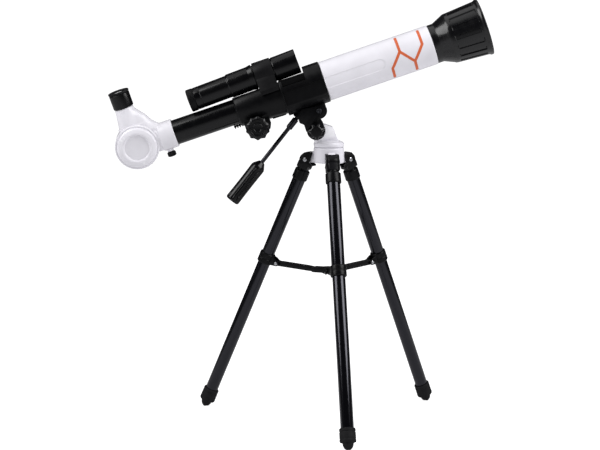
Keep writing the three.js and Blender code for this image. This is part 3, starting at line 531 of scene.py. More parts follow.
def build_leg(n):
    place, body = leg_frame(n), f"leg_{n}"
    outline = rounded(
        lean([(-7.5, 7.0), (-5.2, -1.6), (-3.6, -2.8), (-7.2, -5.6), (-7.0, -6.9), (-3.2, -7.6)])
        + [(-5.9, -9.6), (5.9, -9.6), (6.1, -5)]
        + lean(arc(0, 0, 6.2, 0, 54, 5) + [(1.4, 6.9), (-1.2, 7.5), (-6.9, 7.5), (-7.5, 7.0)]), 0.5, 2)
    cheek = prism(outline, 3.95, 6.5, 0.4)
    front_web = prism(lean(arc(0, 0, 6.1, -20, 54, 8) + [(1.9, 6.7), (0.5, 7.3)] + arc(0, 0, 4.4, 84, -20, 9)),
                      -4.2, 4.2, 0.1)
    bridge = prism([(-5.8, -9.6), (-5.8, -7), (-3.4, -4.9), (3.6, -4.9), (4.3, -3.4), (6.1, -2.2), (5.9, -9.6)],
                   -4.2, 4.2, 0.1)
    cap = revolve(rounded([
        (0, -9.2), (5.7, -9.2), (5.7, -11.1), (6.6, -11.3), (7.6, -12.3), (7.75, -21.4), (7.3, -21.95),
        (6.7, -21.9), (6.7, -20), (0, -20),
    ], 0.35), even_angles(96), "Z")
    make_piece(f"knuckle_{n}", *joined(both_sides(cheek), front_web, bridge, cap), place, body, BLACK,
               [f"leg_knuckle_{n}"])
    lathe(f"upper_tube_{n}", [(5.7, -110.6), (6.55, -110.6), (6.55, -13.7), (5.7, -13.7)],
          place, body, LEG_PAINT, [f"leg_upper_tube_{n}"], axis="Z", steps=96, edge=0.15)
    lathe(f"lower_tube_{n}", [(5.5, -276), (6.35, -276), (6.35, -111), (5.5, -111)],
          place, body, LEG_PAINT, [f"leg_lower_tube_{n}"], axis="Z", steps=96, edge=0.15)
    build_collar(n, place, body)
    lathe(f"foot_{n}", [
        (0, -285.1), (2.2, -284.9), (4.1, -283), (5.1, -280.8), (5.4, -278.6), (6.2, -278.1), (7.7, -277.6),
        (8.0, -276.6), (8.0, -275.2), (7.7, -274.9), (7.7, -274.3), (7.9, -274), (7.85, -268.4),
        (7.45, -268.1), (7.45, -267.5), (7.85, -267.2), (7.85, -265.2), (7.3, -264.4), (6.45, -264.3),
        (6.45, -276.2), (0, -276.2),
    ], place, body, RUBBER, [f"leg_foot_{n}"], axis="Z", steps=96, edge=0.3, shape=above_floor)


def above_floor(r, h, angle):
    """Keeps the leaning foot's tread on the floor: the sole is worn flat where it stands."""
    if h > SOLE_TOP:
        return r
    lift = -h * math.cos(SPLAY * DEG) - HINGE_Z
    slope = math.sin(SPLAY * DEG) * -math.cos(angle * DEG)
    if lift + r * slope <= 0 or slope <= 0:
        return r
    return max(0.2, -lift / slope)


def build_collar(n, place, body):
    low, high = -116.4, -105.6
    ring = revolve(rounded([
        (6.65, low), (7.5, low), (7.95, low + 0.6), (7.95, -111.8), (7.7, -111.5), (7.7, -110.7),
        (7.95, -110.4), (7.95, high - 0.6), (7.5, high), (6.65, high), (6.65, low),
    ], 0.25), even_angles(96), "Z")
    ear = prism([(-6.6, high - 1), (-9.4, high - 1.4)] + arc(COLLAR_PIN_X, COLLAR_PIN_Z, 2.8, 75, 270, 14)
                + [(-6.6, low + 0.8)], 3.15, 4.85, 0.3)
    make_piece(f"collar_{n}", *joined(ring, both_sides(ear)), place, body, BLACK, [f"leg_collar_{n}"])
    lathe(f"arm_pin_{n}", [
        (0, -5.4), (1.4, -5.4), (1.85, -5.1), (1.15, -5.0), (1.15, 5.0), (1.85, 5.1), (1.4, 5.4), (0, 5.4),
    ], place, body, STEEL, [f"spreader_pin_{n}"], axis="Y", offset=(COLLAR_PIN_X, 0, COLLAR_PIN_Z), steps=32,
        edge=0.1)


def build_spreader():
    stay_r, stay_z = 14, 151.3
    hub = revolve(rounded([
        (0, stay_z - 3.4), (5.3, stay_z - 3.4), (6, stay_z - 2.8), (6, stay_z + 2.4), (5.2, stay_z + 3.2),
        (2.4, stay_z + 3.2), (2.2, stay_z + 2.4), (0, stay_z + 2.4),
    ], 0.35), even_angles(64), "Z")
    ear = prism([(2, stay_z - 2.7), (stay_r, stay_z - 2.7)] + arc(stay_r, stay_z, 2.7, -60, 60, 10)
                + [(stay_r, stay_z + 2.7), (2, stay_z + 2.7)], 3.15, 4.85, 0.3)
    rivet = revolve([(0, 4.6), (1.1, 4.6), (1.1, 4.88), (0, 4.9)], even_angles(24), "Y", (stay_r, 0, stay_z))
    parts = [hub]
    for n in LEGS:
        parts.append(transformed(both_sides(joined(ear, rivet)), place_in(leg_turn(n), PAN)))
    make_piece("spreader_star", *joined(*parts), PAN, "spreader", BLACK, ["spreader_hub"])
    for n in LEGS:
        outer = Vector(JOINTS[f"arm_{n}_swing"]["pos_m"])
        out = Vector(JOINTS[f"arm_{n}_swing"]["axis"]).cross(UP)
        inner = PAN.translation + out * stay_r * MM + UP * stay_z * MM
        place = frame_at(outer, inner - outer, -UP)
        length = (inner - outer).length / MM
        top = 1.0
        web = prism(arc(0, 0, 2.5, 90, 270, 12) + [(6, -2.8), (length - 7, -2.8)]
                    + arc(length, 0, 2.4, -90, 90, 12) + [(length - 7, 2.5), (6, 2.5)], 1.5, 2.55, 0.3)
        roof = prism([(2, top), (length - 3, top), (length - 3, 2.4), (2, 2.4)], -1.8, 1.8, 0.1)
        ends = joined(
            revolve([(1.3, -1.8), (2.4, -1.8), (2.4, 1.8), (1.3, 1.8)], even_angles(40), "Y"),
            revolve([(0, -1.8), (2.3, -1.8), (2.3, 1.8), (0, 1.8)], even_angles(40), "Y", (length, 0, 0)))
        make_piece(f"arm_{n}", *joined(both_sides(web), roof, ends), place, f"arm_{n}", BLACK,
                   [f"spreader_arm_{n}"])


# ---- head
def build_turret():
    brim = revolve(rounded([
        (0, 274.95), (13.6, 274.95), (14.8, 275.4), (15.25, 276.7), (15.25, 278.7), (14.4, 280), (12.2, 280.9),
        (11.2, 281.6), (10.4, 282), (0, 282),
    ], 0.6), even_angles(96), "Z")
    pivot_x, pivot_z = -13.1, 291.8
    tongue = prism(rounded([
        (-13.4, 279), (12.2, 279), (9.6, 281.8), (7.6, 285.6), (4.8, 293.2), (3.2, 295.4), (-3.6, 297.7),
    ] + arc(pivot_x, pivot_z, 7.5, 62, 190, 16) + [(-13.4, 279)], 0.8), -7.1, 7.1, 0.8)
    make_piece("turret", *joined(brim, tongue), PAN, "turret", HEAD_WHITE, ["pan_turret"])


def build_head():
    plate = prism(rounded([
        (-36.4, -24), (-36.4, -30.5), (-32.9, -33.5), (-32.9, -41),
    ] + arc(PIVOT_S, PIVOT_U, 9.2, 165, 375, 28) + [
        (-14.2, -38), (-15.2, -34.2),
    ] + arc(LUG_S, LUG_U, 8.1, -100, 45, 20) + [(-12, -20.6), (-30, -18), (-36.4, -24)], 0.8),
        HEAD_IN, HEAD_OUT, 0.6)
    deck = prism(rounded([
        (-36.2, -23.4), (-36.2, -30.4), (-33, -32.9), (-31, -32.9), (-28, -31.1), (-21, -31.1), (-19.7, -29.6),
        (-19.7, -25.3), (-28, -25.3), (-28.4, -20), (-34, -20), (-36.2, -23.4),
    ], 0.4), -HEAD_IN - 0.2, HEAD_IN + 0.2, 0.1)
    socket = transformed(
        revolve(rounded([(0, -2), (4.7, -2), (4.7, 4.6), (4.2, 5.3), (2.2, 5.35), (2.2, 0), (0, 0)], 0.4),
                even_angles(64), "X"), place_in(HANDLE, TUBE))
    boss = revolve(rounded([
        (0, HEAD_OUT - 0.6), (6.4, HEAD_OUT - 0.6), (6.4, HEAD_OUT), (5.6, HEAD_OUT + 0.15),
        (0, HEAD_OUT + 0.15),
    ], 0.2), even_angles(64), "Y", (PIVOT_S, 0, PIVOT_U))
    make_piece("head", *joined(both_sides(plate), deck, socket, both_sides(boss)), TUBE, "telescope", BLACK,
               ["tilt_head"])
    shoe = joined(
        prism([(-28, -17), (-28, -24.8), (-8, -24.8), (-6.4, -23), (-6.4, -17)], -7.3, 7.3, 0.3),
        prism(arc(LUG_S, LUG_U, 4.1, 0, 350, 35), -7.3, 7.3, 0.3))
    make_piece("shoe", *shoe, TUBE, "telescope", BLACK, ["mount_shoe"])
    head = HEAD_OUT + 0.2
    lathe("cross_bolt", [
        (0, -head - 0.7), (0.9, -head - 0.7), (1.2, -head - 1.25), (2.1, -head - 1.3), (2.6, -head - 0.8),
        (2.6, -head), (1.6, -head), (1.6, head), (2.6, head), (2.6, head + 0.8), (2.1, head + 1.3),
        (0, head + 1.3),
    ], TUBE, "telescope", DULL_STEEL, ["saddle_bolt"], axis="Y", offset=(LUG_S, 0, LUG_U), steps=48, edge=0.25)
    lathe("pivot_bolt", [
        (0, -22.3), (2.3, -22.3), (2.3, head), (4.9, head), (4.9, head + 3), (4.2, head + 3.7), (0, head + 3.7),
    ], TUBE, "telescope", STEEL, ["tilt_bolt"], axis="Y", offset=(PIVOT_S, 0, PIVOT_U),
        angles=even_angles(48), edge=0.3, shape=hexagon(4))


def hexagon(reach):
    """Turns a bolt head's round outline into six flats."""
    flat = 0.9

    def shape(r, h, a):
        if r < reach:
            return r
        return min(r, flat * r / math.cos(((a % 60) - 30) * DEG))
    return shape


def build_tilt_knob():
    lathe("clamp_knob", [
        (0, -23.9), (5.0, -23.9), (5.6, -23.5), (7.9, -22.4), (8.75, -21.0), (8.75, -15.4), (8.2, -14.2),
        (6.9, -13.4), (6.4, -11.6), (2.5, -11.6), (2.5, -22.6), (0, -22.6),
    ], TUBE, "knob", GLOSS_BLACK, ["tilt_knob"], axis="Y", offset=(PIVOT_S, 0, PIVOT_U),
        steps=168, edge=0.5, shape=lobes(7, 2.3, 6.6), sharp=40)


def build_handle():
    lathe("handle_ferrule_shell", [
        (2.2, 6.7), (3.1, 6.7), (3.2, 7.2), (3.2, 17.2), (2.8, 18.3), (2.2, 18.35),
    ], HANDLE, "handle", ROD_PAINT, ["handle_ferrule"], steps=64, edge=0.3)
    lathe("handle_rod_bar", [(0, 0.1), (2.05, 0.1), (2.05, 71.8), (0, 71.8)], HANDLE, "handle", ROD_PAINT,
          ["handle_rod"], steps=64, edge=0.2)
    start, end = 67.6, 106.6

    def flutes(r, h, a):
        ramp = eased(clamp((h - start) / 4) * clamp((end - h) / 3))
        wave = max(0, -math.cos(10 * a * DEG)) ** 0.6
        return r - (1.0 * wave * ramp if r > 5 else 0)

    body = [(7.3 - 0.2 * math.sin(math.pi * (h - 69) / 38), h) for h in range(69, 107, 2)]
    lathe("handle_grip_shell", [
        (0, 61.2), (2.9, 61.1), (3.4, 61.6), (4.6, 63.4), (6.4, 66), (7.1, 67.6), *body,
        (7.3, 108), (6.9, 109.5), (6.2, 110.1), (4.6, 110.1), (4.2, 109.4), (0, 109.4),
    ], HANDLE, "handle", GLOSS_BLACK, ["handle_grip"], steps=200, edge=0.5, shape=flutes, sharp=50)


# ---- optical tube
def housing_angles():
    """Even angles, with the ones where the housing's flats and channels begin."""
    angles = set(round(a, 3) for a in even_angles(180))
    for radius in (SLEEVE_R, 18.3, 17.4, 16.6):
        for height in (SADDLE_U, FLAT_U, 8.5, -10.4, 4):
            if abs(height) < radius:
                a = math.degrees(math.asin(height / radius))
                for edge in (a - 0.35, a, a + 0.35):
                    angles |= {round(edge % 360, 3), round((180 - edge) % 360, 3)}
    return sorted(angles)


def housing_shape(r, h, a):
    """Cuts the flat tops, the saddle's side steps and the side channels into the sleeve."""
    up, side = math.sin(a * DEG), abs(math.cos(a * DEG))
    if r < 14:
        return r
    if h <= SLEEVE_BACK + 0.01:
        return min(r, FLAT_U / up) if up > 0 else r
    limit = r
    if h < RING_BACK and up > 0:
        limit = min(limit, SADDLE_U / up)
        if limit * up > 8.5 and SLEEVE_BACK + 3 < h and limit * side > 14.6:
            limit = max(14.6 / side, 8.5 / up)
    if -10.4 < limit * math.sin(a * DEG) < 4 and SLEEVE_BACK + 1 < h and limit * side > SLOT_FLOOR:
        limit = SLOT_FLOOR / side
    return limit


def build_housing():
    def twice(position):
        return [position - 0.06, position + 0.06]
    stations = ([SLEEVE_BACK + 0.02, SLEEVE_BACK + 0.4, SLEEVE_BACK + 0.8] + twice(SLEEVE_BACK + 1)
                + twice(SLEEVE_BACK + 3) + [-36, -30, -24] + twice(RING_BACK) + [-12, -6, -1.2])
    outer = [(SLEEVE_R - 0.6 if s < SLEEVE_BACK + 0.3 else SLEEVE_R - 0.15 if s < SLEEVE_BACK + 0.5
              else SLEEVE_R, s) for s in stations]
    profile = [
        (12.6, HOUSING_BACK), (14.2, HOUSING_BACK), (14.8, HOUSING_BACK + 0.3), (15.6, HOUSING_BACK + 1.2),
        (16.8, -84), (17.3, -74), (17.7, -64), (18.1, -54), (18.3, -50), (18.35, SLEEVE_BACK - 0.6),
        (18.35, SLEEVE_BACK - 0.02), *outer, (SLEEVE_R - 0.1, -0.5), (SLEEVE_R - 0.45, -0.1),
        (SLEEVE_R - 0.8, 0), (16.7, 0), (16.7, -14), (12.6, -14),
    ]
    shell = revolve(profile, housing_angles(), "X", shape=housing_shape)
    block = prism(rounded([
        (-88.6, -8), (-88.6, -22), (-86.6, -26.2), (-82.2, -29.3), (-70.4, -29.3), (-65.2, -26.2),
        (-63.2, -22), (-63.2, -8), (-88.6, -8),
    ], 1.2), -9, 9, 0.8)
    rear_rib = prism(rounded([
        (-60, -16), (-60, -18.6), (-50, -18.9), (-46, -18.9), (-46, -16), (-60, -16),
    ], 0.4), -4, 4, 0.4)
    make_piece("housing", *joined(shell, block, rear_rib), TUBE, "telescope", BLACK,
               ["focuser_housing"], sharp=28)


def panel_shape(r, h, a):
    """A shallow sunken panel with a round end on the near side of the tube."""
    if r < TUBE_R - 0.1:
        return r
    end_centre, half_width, wall, sunk, off_centre = 56.5, 5.55, 0.5, 0.45, 1.1
    angle = a if a < 180 else a - 360
    if abs(angle) >= 60:
        return r
    distance = math.hypot(TUBE_R * math.sin(angle * DEG) + off_centre, max(0, h - end_centre))
    return r - sunk * eased(clamp((half_width - distance) / wall))


def build_tube():
    angles = sorted(set(even_angles(120)) | {(0.75 * k - 27) % 360 for k in range(64)})
    wall = [(TUBE_R, 0.9 + 0.85 * k) for k in range(76)] + [(TUBE_R, s) for s in (75, 90, 105, 112.1)]
    lathe("tube", [
        (15.1, -14), (16.6, -14), (16.6, 0.3), (TUBE_R - 0.5, 0.3), (TUBE_R - 0.15, 0.45), *wall,
        (TUBE_R - 0.4, 112.55), (18, 112.6), (18, 2.3), (15.1, 2.3),
    ], TUBE, "telescope", WHITE, ["main_tube"], edge=0, angles=angles, shape=panel_shape)


def build_decoration():
    """Printed zigzag line with a branch at each bend, on the near side of the tube."""
    first, pitch, low, high = 67.3, 11.6, -26, 14
    low_end, high_end = -62, 64
    width, lift = 2.75, 0.04
    nodes = [(first + pitch * k, low if k % 2 == 0 else high) for k in range(4)]
    ends = [(s, low_end if a == low else high_end) for s, a in nodes]
    paths = [nodes] + [[node, end] for node, end in zip(nodes, ends)]
    arc_length = TUBE_R * DEG
    parts = [ribbon([(s, a * arc_length) for s, a in path], width) for path in paths]
    parts += [dot(s, a * arc_length, width / 2) for s, a in nodes + ends]
    vertices, faces = joined(*parts)
    radius = TUBE_R + lift
    wrapped = []
    for s, across, _ in vertices:
        angle = across / TUBE_R
        wrapped.append((s, -radius * math.cos(angle), radius * math.sin(angle)))
    make_piece("printed_line", wrapped, faces, TUBE, "telescope", ORANGE)


def ribbon(path, width):
    """A flat strip along straight runs of a path, cut fine enough to wrap round the tube."""
    vertices, faces = [], []
    for a, b in zip(path, path[1:]):
        a, b = Vector(a), Vector(b)
        run = b - a
        side = Vector((-run.y, run.x)).normalized() * width / 2
        steps = max(2, int(run.length / 0.5))
        base = len(vertices)
        for k in range(steps + 1):
            p = a + run * k / steps
            for q in range(5):
                v = p + side * (q / 2 - 1)
                vertices.append((v.x, v.y, 0))
        for k in range(steps):
            for q in range(4):
                i = base + 5 * k + q
                faces.append((i, i + 5, i + 6, i + 1))
    return vertices, faces


def dot(s, across, radius):
    rings, sides = 3, 24
    vertices = [(s, across, 0)]
    for ring in range(1, rings + 1):
        vertices += [(s + radius * ring / rings * math.cos(2 * math.pi * k / sides),
                      across + radius * ring / rings * math.sin(2 * math.pi * k / sides), 0)
                     for k in range(sides)]
    faces = [(0, 1 + k, 1 + (k + 1) % sides) for k in range(sides)]
    for ring in range(rings - 1):
        base = 1 + ring * sides
        for k in range(sides):
            n = (k + 1) % sides
            faces.append((base + k, base + sides + k, base + sides + n, base + n))
    return vertices, [face[::-1] for face in faces]


def build_shield():
    flutes, depth, half = 16, 1.1, 4.9
    start, end = 134.5, 161.2

    def grooves(r, h, a):
        if r < 24.4 or not start - 1 < h < end + 1:
            return r
        offset = abs((a + 180 / flutes) % (360 / flutes) - 180 / flutes)
        lengthwise = clamp((h - start + 0.4) / 0.8) * clamp((end + 0.4 - h) / 0.8)
        return r - depth * eased(clamp(half + 0.5 - offset)) * lengthwise

    pitch = 360 / flutes
    offsets = (-6.5, -5.4, -5.15, -4.9, -4.65, -4.4, -3.3, -1.6, 0, 1.6, 3.3, 4.4, 4.65, 4.9, 5.15, 5.4, 6.5, 9)
    angles = sorted((k * pitch + o) % 360 for k in range(flutes) for o in offsets)

    def flare(s):
        return 24.95 + (s - 130.6) * 0.0745

    wall = [(flare(s), s) for s in (131.6, 133.4, 134.1, 134.3, 134.5, 134.7, 134.9, 138, 144, 150, 156, 160.8,
                                    161, 161.2, 161.4, 161.6, 163)]
    lathe("shield", [
        (16, 102), (17.7, 102), (17.7, 112.9), (19.1, 112.9), (19.45, 113.3), (19.45, 118.6), (19.8, 119.5),
        (24.0, 128.8), (24.6, 129.8), *wall, (27.7, 164), (28.3, 164.9), (28.45, 165.6), (28.45, 167),
        (28.2, 167.5), (26.8, 167.5), (26.4, 167), (22.8, 131), (18.4, 129.6), (18.4, 120), (16.2, 120),
        (16, 119.6),
    ], TUBE, "telescope", SHIELD_BLACK, ["dew_shield"], edge=0, angles=angles, shape=grooves, sharp=26)
    lathe("light_baffle", [
        (18.45, 129.9), (22.75, 131.3), (26.3, 166.6), (26.2, 166.6), (22.6, 131.5), (18.45, 130.1),
    ], TUBE, "telescope", INNER_BLACK, steps=128, edge=0)
    lathe("front_lens", lens_profile(18, 122.1, 124.3, 1.35), TUBE, "telescope", GLASS,
          ["objective_lens"], steps=96, edge=0)
    lathe("front_lens_ring", [
        (16, 125.3), (18.05, 125.3), (18.05, 129.1), (17.5, 129.15), (17.1, 128.4), (16.8, 128.4),
        (16.4, 127.7), (16, 127.2),
    ], TUBE, "telescope", INNER_BLACK, ["lens_ring"], steps=96, edge=0.15)


def build_drawtube():
    lathe("draw_tube", [
        (11, DRAW_BACK), (DRAW_R - 0.4, DRAW_BACK), (DRAW_R - 0.05, DRAW_BACK + 0.4),
        (DRAW_R - 0.05, DRAW_FRONT), (11, DRAW_FRONT),
    ], TUBE, "draw", GLOSS_BLACK, ["drawtube"], steps=128, edge=0.2)
    module, teeth = 0.8, 20
    pitch = math.pi * module
    first = KNOB_S + (0.5 - 9) * pitch
    pitch_u = KNOB_U + PINION_R
    root, tip = pitch_u + 0.9, pitch_u - 0.65
    outline = [(first - 1, -12.7), (first - 1, root)]
    for k in range(teeth):
        middle = first + k * pitch
        outline += [(middle - 0.83, root), (middle - 0.3, tip + 0.1), (middle - 0.2, tip), (middle + 0.2, tip),
                    (middle + 0.3, tip + 0.1), (middle + 0.83, root)]
    end = first + (teeth - 1) * pitch + 1
    outline += [(end, root), (end, -12.7)]
    make_piece("draw_rack", *prism(outline, -2.35, 2.35, 0.08), TUBE, "draw", INNER_BLACK, ["drawtube_rack"])


def build_focuser():
    step = 360 / PINION_TEETH
    outline = []
    for k in range(PINION_TEETH):
        middle = 90 + k * step
        for radius, across in ((4.7, -0.75), (PINION_R, -0.5), (6.1, -0.34), (6.28, -0.2),
                               (6.28, 0.2), (6.1, 0.34), (PINION_R, 0.5), (4.7, 0.75)):
            angle = middle * DEG + across / radius
            outline.append((KNOB_S + radius * math.cos(angle), KNOB_U + radius * math.sin(angle)))
    shaft = revolve(rounded([(0, -21), (1.7, -21), (1.95, -20.7), (1.95, 20.7), (1.7, 21), (0, 21)], 0.1),
                    even_angles(40), "Y", (KNOB_S, 0, KNOB_U))
    make_piece("pinion_shaft", *joined(prism(outline, -2.75, 2.75, 0.08), shaft), TUBE, "focuser", STEEL,
               ["focus_shaft"])
    profile = [
        (0, 22.3), (3.4, 22.3), (3.8, 22.9), (4.6, 22.95), (5, 22.4), (7.1, 22.4), (7.5, 22.95), (8.3, 22.95),
        (9.6, 22.5), (11.4, 21.4), (12.15, 20.2), (12.15, 15.4), (11.2, 13.8), (9.4, 13.3), (6.9, 12.3),
        (6.9, 11.5), (2.1, 11.5), (2.1, 21.1), (0, 21.1),
    ]
    knob = revolve(rounded(profile, 0.3), even_angles(200), "Y", (KNOB_S, 0, KNOB_U), lobes(10, 1.25, 9.2))
    make_piece("focus_wheel_far", *knob, TUBE, "focuser", GLOSS_BLACK, ["focus_knob_far"], 40)
    make_piece("focus_wheel_near", *transformed(knob, MIRROR_Y), TUBE, "focuser", GLOSS_BLACK,
               ["focus_knob_near"], 40)


# ---- star diagonal and eyepiece
def build_diagonal():
    drum = revolve(rounded([
        (19.5, -DRUM_HALF), (DRUM_R - 0.4, -DRUM_HALF), (DRUM_R, -DRUM_HALF + 1.4), (DRUM_R, DRUM_HALF - 1.4),
        (DRUM_R - 0.4, DRUM_HALF), (19.5, DRUM_HALF), (19.5, -DRUM_HALF),
    ], 1.4), even_angles(128), "Y")
    collar = revolve(rounded([
        (12.6, 19), (13.2, 19), (13.2, 23.4), (13.6, 23.8), (14.25, 24.6), (14.3, 38.6), (13.9, 39.25),
        (12.6, 39.3), (12.6, 19),
    ], 0.5), even_angles(96), "X")
    ridge = [(5, 30), (12.4, 30), (16.8, 23.6), (27.6, 17.4), (37.4, 9.2)]
    narrowing = 6

    def neck_shape(r, h, a):
        """Draws the neck out towards the collar along the ridge's (height, reach) line."""
        if r < 9 or not ridge[0][0] <= h <= ridge[-1][0]:
            return r
        for (z, x), (next_z, next_x) in zip(ridge, ridge[1:]):
            if z <= h <= next_z:
                reach = x + (next_x - x) * (h - z) / (next_z - z)
        return r + max(0, reach - r) * max(0, math.cos(a * DEG)) ** narrowing

    sides = [(12.6, 5 + k) for k in range(10)]
    sides += [(12.9, 19.5), (12.9, 20.3), (12.2, 20.9)]
    sides += [(11.8 - 0.147 * k, 21.8 + 1.04 * k) for k in range(16)]
    neck = revolve([(8.1, 5)] + sides + [(9.35, 39.6), (9.0, 39.95), (8.1, 40)], even_angles(144), "Z",
                   shape=neck_shape)
    boss = revolve(rounded([(1.6, -16.2), (2.8, -16.2), (3.2, -15.9), (3.4, -12.7), (1.6, -12.7), (1.6, -16.2)],
                           0.3), even_angles(48), "Z", (SCREW_X, 0, 0))
    make_piece("diagonal_shell", *joined(drum, collar, neck, boss), DIAGONAL, "diagonal", WHITE,
               ["diagonal_body"], sharp=34)
    cap = revolve(rounded([
        (0, 12.9), (19.9, 12.9), (19.9, 13.5), (19.2, 14.3), (18.3, 15.4), (15.4, 16.6), (14.2, 16.75),
        (13.3, 16.5), (12.5, 15.4), (11.9, 15.0), (9, 14.85), (0, 14.8),
    ], 0.7), even_angles(128), "Y")
    make_piece("side_cap_far", *cap, DIAGONAL, "diagonal", WHITE, ["diagonal_cap_far"])
    make_piece("side_cap_near", *transformed(cap, MIRROR_Y), DIAGONAL, "diagonal", WHITE, ["diagonal_cap_near"])
    seat = Matrix.Translation((-3, 0, -3)) @ Matrix.Rotation(45 * DEG, 4, "Y")
    slab = prism([(-11.9, -2.6), (11.9, -2.6), (11.9, -0.8), (-11.9, -0.8)], -8.9, 8.9, 0.2)
    make_piece("flat_mirror", *transformed(slab, seat), DIAGONAL, "diagonal", MIRROR, ["diagonal_mirror"])
    lathe("lock_screw", [
        (0, -21.5), (3.2, -21.5), (3.9, -21.3), (4.4, -20.6), (4.4, -17.6), (3.8, -16.8), (1.5, -16.75),
        (1.45, -12.9), (0, -12.9),
    ], DIAGONAL, "screw", BLACK, ["thumb_screw"], axis="Z", offset=(SCREW_X, 0, 0), steps=160,
        edge=0.25, shape=lobes(20, 0.45, 3.6), sharp=50)


def build_eyepiece():
    lathe("eyepiece_barrel", [
        (6.9, 24.7), (7.7, 24.7), (7.95, 25), (7.95, 40.3), (9.7, 40.35), (10.2, 40.8), (10.25, 54.4),
        (9.9, 54.8), (8.6, 54.8), (8.6, 51.1), (6.9, 51.1),
    ], DIAGONAL, "eyepiece", GLOSS_BLACK, ["eyepiece_body"], axis="Z", steps=96, edge=0.2)
    # The eye lens uses the darkened glass, which is painted shade for the dark inside of the eyepiece.
    lathe("eyepiece_glass", lens_profile(8.2, 51.95, 52.85, 0.65), DIAGONAL, "eyepiece", EYE_GLASS_PAINTED_SHADE,
          ["eye_lens"], axis="Z", steps=64, edge=0)
    lathe("eyepiece_lip", [
        (8.5, 55.15), (10.2, 55.15), (10.55, 55.7), (10.55, 56.6), (10.2, 57.2), (9.7, 57.35), (9.0, 57.0),
        (7.9, 56.0),
    ], DIAGONAL, "eyepiece", RUBBER, ["eyecup"], axis="Z", steps=96, edge=0.25)


# ---- finder
def build_finder():
    lathe("finder_tube", [
        (9, -72.2), (10.9, -72.2), (11.1, -71.9), (11.1, -66.2), (10.95, -66), (10.95, -65.7), (11.12, -65.5),
        (11.15, -37.6), (11.3, -37.1), (11.85, -36.4), (12.0, -35.6), (12.05, -15), (12.2, -14.3),
        (12.85, -10.7),
        (12.85, -10.2), (11.55, -10.15), (11.55, 10.3), (11.9, 10.6), (12.2, 11.3), (12.25, 20), (12.35, 34.9),
        (12.1, 35.35), (11.4, 35.4), (11.2, 31.1), (9.9, 31), (9.9, -66), (9, -66),
    ], FINDER, "telescope", GLOSS_BLACK, ["finder_body"], steps=112, edge=0.2)
    lathe("finder_lens", lens_profile(10.8, 32, 32.7, 0.75), FINDER, "telescope", GLASS,
          ["finder_objective"], steps=80, edge=0)
    lathe("finder_back_lens", lens_profile(9.2, -65.25, -64.65, 0.35), FINDER, "telescope", GLASS,
          ["finder_eye_lens"], steps=64, edge=0)
    lathe("finder_focus_cap", [
        (7.7, -79.35), (10.4, -79.35), (11.2, -78.9), (11.35, -78.2), (11.35, -73.6), (11.1, -72.6),
        (8.6, -72.5), (8.6, -69.1), (7.7, -69.1),
    ], FINDER, "finder_focus", BLACK, ["finder_eye_ring"], steps=240, edge=0.2,
        shape=lobes(60, 0.25, 10.2), sharp=60)
    half = [(18.5, 7.2), (18.5, 11.5), (14.2, 21.6)] + arc(0, FINDER_U, 13.2, -12, 90, 22)
    outline = half + [(-y, z) for y, z in half[:-1][::-1]] + [(-11.4, 14), (11.4, 14), half[0]]
    reach, angles = polar(rounded(outline, 0.5), (0, FINDER_U))
    back, front, nominal, bevel = -63.1, SLEEVE_BACK - 0.8, 20, 0.5
    lathe("finder_saddle", [
        (12.1, back), (nominal - bevel, back), (nominal - 0.3 * bevel, back + 0.3 * bevel),
        (nominal, back + bevel),
        (nominal, front - bevel), (nominal - 0.3 * bevel, front - 0.3 * bevel), (nominal - bevel, front),
        (12.1, front),
    ], TUBE, "telescope", BRACKET_BLACK, ["finder_bracket"], offset=(0, 0, FINDER_U), edge=0,
        angles=angles, shape=lambda r, h, a: reach(a) + r - nominal if r > 15 else r)


# ---- studio
# Metres and watts. Strengths are in the order camera, gloss, everything else.
STAGE_HALF = 120
GLOW_STRENGTHS = (0.9, 1.02)
GLOW_RADII = (0.3, 1.0)
FLOOR_GLOSS, FLOOR_LIGHT = 0.12, 0.46
WORLD_STRENGTHS = (1.1, 0.04, 0.22)
LIT_SPOT = (0, 0.02, 0.2)
SOFTBOXES = (
    ("left_softbox", (-1.3, -0.42, 1.23), 1.0, 1.3, 19),
    ("right_softbox", (1.2, -0.55, 1.23), 1.0, 1.3, 22),
    ("top_softbox", (-0.2, 0.1, 1.9), 1.8, 1.4, 6.5),
)
CAMERA_TARGET = (-0.0001, 0.02625, 0.1965)
SENSOR_MM = 36
FOCAL_PX, IMAGE_PX = 1870, 600


def by_ray(tree, camera, glossy, other):
    """A strength that differs for what the camera sees, what gloss reflects and what lights."""
    path = tree.nodes.new("ShaderNodeLightPath")
    lit = tree.nodes.new("ShaderNodeMapRange")
    seen = tree.nodes.new("ShaderNodeMapRange")
    lit.inputs["To Min"].default_value = other
    lit.inputs["To Max"].default_value = glossy
    if isinstance(camera, (int, float)):
        seen.inputs["To Max"].default_value = camera
    else:
        tree.links.new(camera, seen.inputs["To Max"])
    tree.links.new(path.outputs["Is Glossy Ray"], lit.inputs["Value"])
    tree.links.new(lit.outputs["Result"], seen.inputs["To Min"])
    tree.links.new(path.outputs["Is Camera Ray"], seen.inputs["Value"])
    return seen.outputs["Result"]


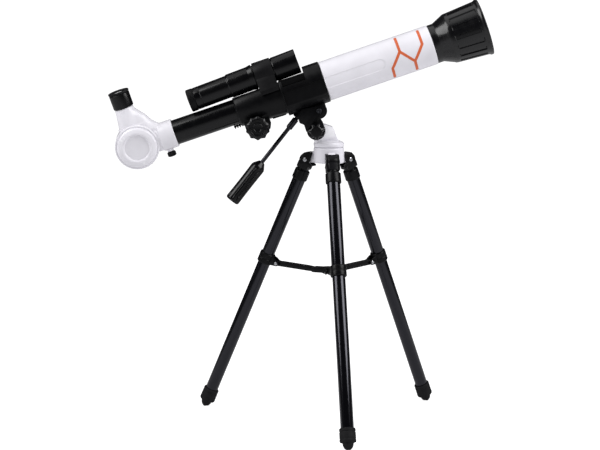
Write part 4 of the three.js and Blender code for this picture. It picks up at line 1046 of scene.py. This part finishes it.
def build_studio():
    size = STAGE_HALF
    floor = bpy.data.objects.new("studio_floor", bpy.data.meshes.new("studio_floor"))
    floor.data.from_pydata([(-size, -size, 0), (size, -size, 0), (size, size, 0), (-size, size, 0)], [],
                           [(0, 1, 2, 3)])
    bpy.context.scene.collection.objects.link(floor)
    n = Nodes("studio_white", own=False)
    paper = n.mix(n.remap(n.noise(6), 0, 1), srgb(178, 178, 180), srgb(172, 172, 174))
    radius = n.tree.nodes.new("ShaderNodeVectorMath")
    radius.operation = "LENGTH"
    n.link(n.coords, radius, "Vector")
    glow = n.remap(radius.outputs["Value"], *GLOW_STRENGTHS, *GLOW_RADII)
    n.tree.links.new(by_ray(n.tree, glow, FLOOR_GLOSS, FLOOR_LIGHT), n.shader.inputs["Emission Strength"])
    n.shader.inputs["Emission Color"].default_value = (1, 1, 1, 1)
    floor.data.materials.append(n.finish(paper, n.remap(n.noise(20), 0.85, 0.95),
                                         n.bump(n.noise(300), 0.0002, 0.1),
                                         Specular_IOR_Level=0.1))

    world = bpy.data.worlds.new("studio_world")
    bpy.context.scene.world = world
    world.use_nodes = True
    background = world.node_tree.nodes["Background"]
    background.inputs["Color"].default_value = (1, 1, 1, 1)
    world.node_tree.links.new(by_ray(world.node_tree, *WORLD_STRENGTHS), background.inputs["Strength"])

    for box in SOFTBOXES:
        softbox(*box)


def softbox(name, position, width, height, power):
    light = bpy.data.lights.new(name, "AREA")
    light.shape = "RECTANGLE"
    light.size, light.size_y = width, height
    light.energy = power
    lamp = bpy.data.objects.new(name, light)
    lamp.location = position
    lamp.rotation_euler = (Vector(LIT_SPOT) - Vector(position)).to_track_quat("-Z", "Y").to_euler()
    bpy.context.scene.collection.objects.link(lamp)


def build_camera():
    target = Vector(CAMERA_TARGET)
    distance, elevation, azimuth, roll = 1.87, 7.3, 1.0, 0.4
    e, a = elevation * DEG, azimuth * DEG
    forward = Vector((math.sin(a) * math.cos(e), math.cos(a) * math.cos(e), -math.sin(e)))
    data = bpy.data.cameras.new("camera")
    data.sensor_width = SENSOR_MM
    data.lens = SENSOR_MM * FOCAL_PX / IMAGE_PX
    data.clip_end = 300
    camera = bpy.data.objects.new("camera", data)
    turn = forward.to_track_quat("-Z", "Y").to_matrix().to_4x4() @ Matrix.Rotation(roll * DEG, 4, "Z")
    camera.matrix_world = Matrix.Translation(target - forward * distance) @ turn
    bpy.context.scene.collection.objects.link(camera)
    bpy.context.scene.camera = camera


def main():
    scene = bpy.context.scene
    scene.view_settings.view_transform = "Standard"
    build_camera()
    build_studio()
    build_hub()
    build_pins()
    for n in LEGS:
        build_leg(n)
    build_spreader()
    build_turret()
    build_head()
    build_tilt_knob()
    build_handle()
    build_housing()
    build_tube()
    build_decoration()
    build_shield()
    build_drawtube()
    build_focuser()
    build_diagonal()
    build_eyepiece()
    build_finder()
    axle_materials = frame["nodes"]["pan_axle"].data.materials
    axle_materials.clear()
    axle_materials.append(AXLE_STEEL)


main()
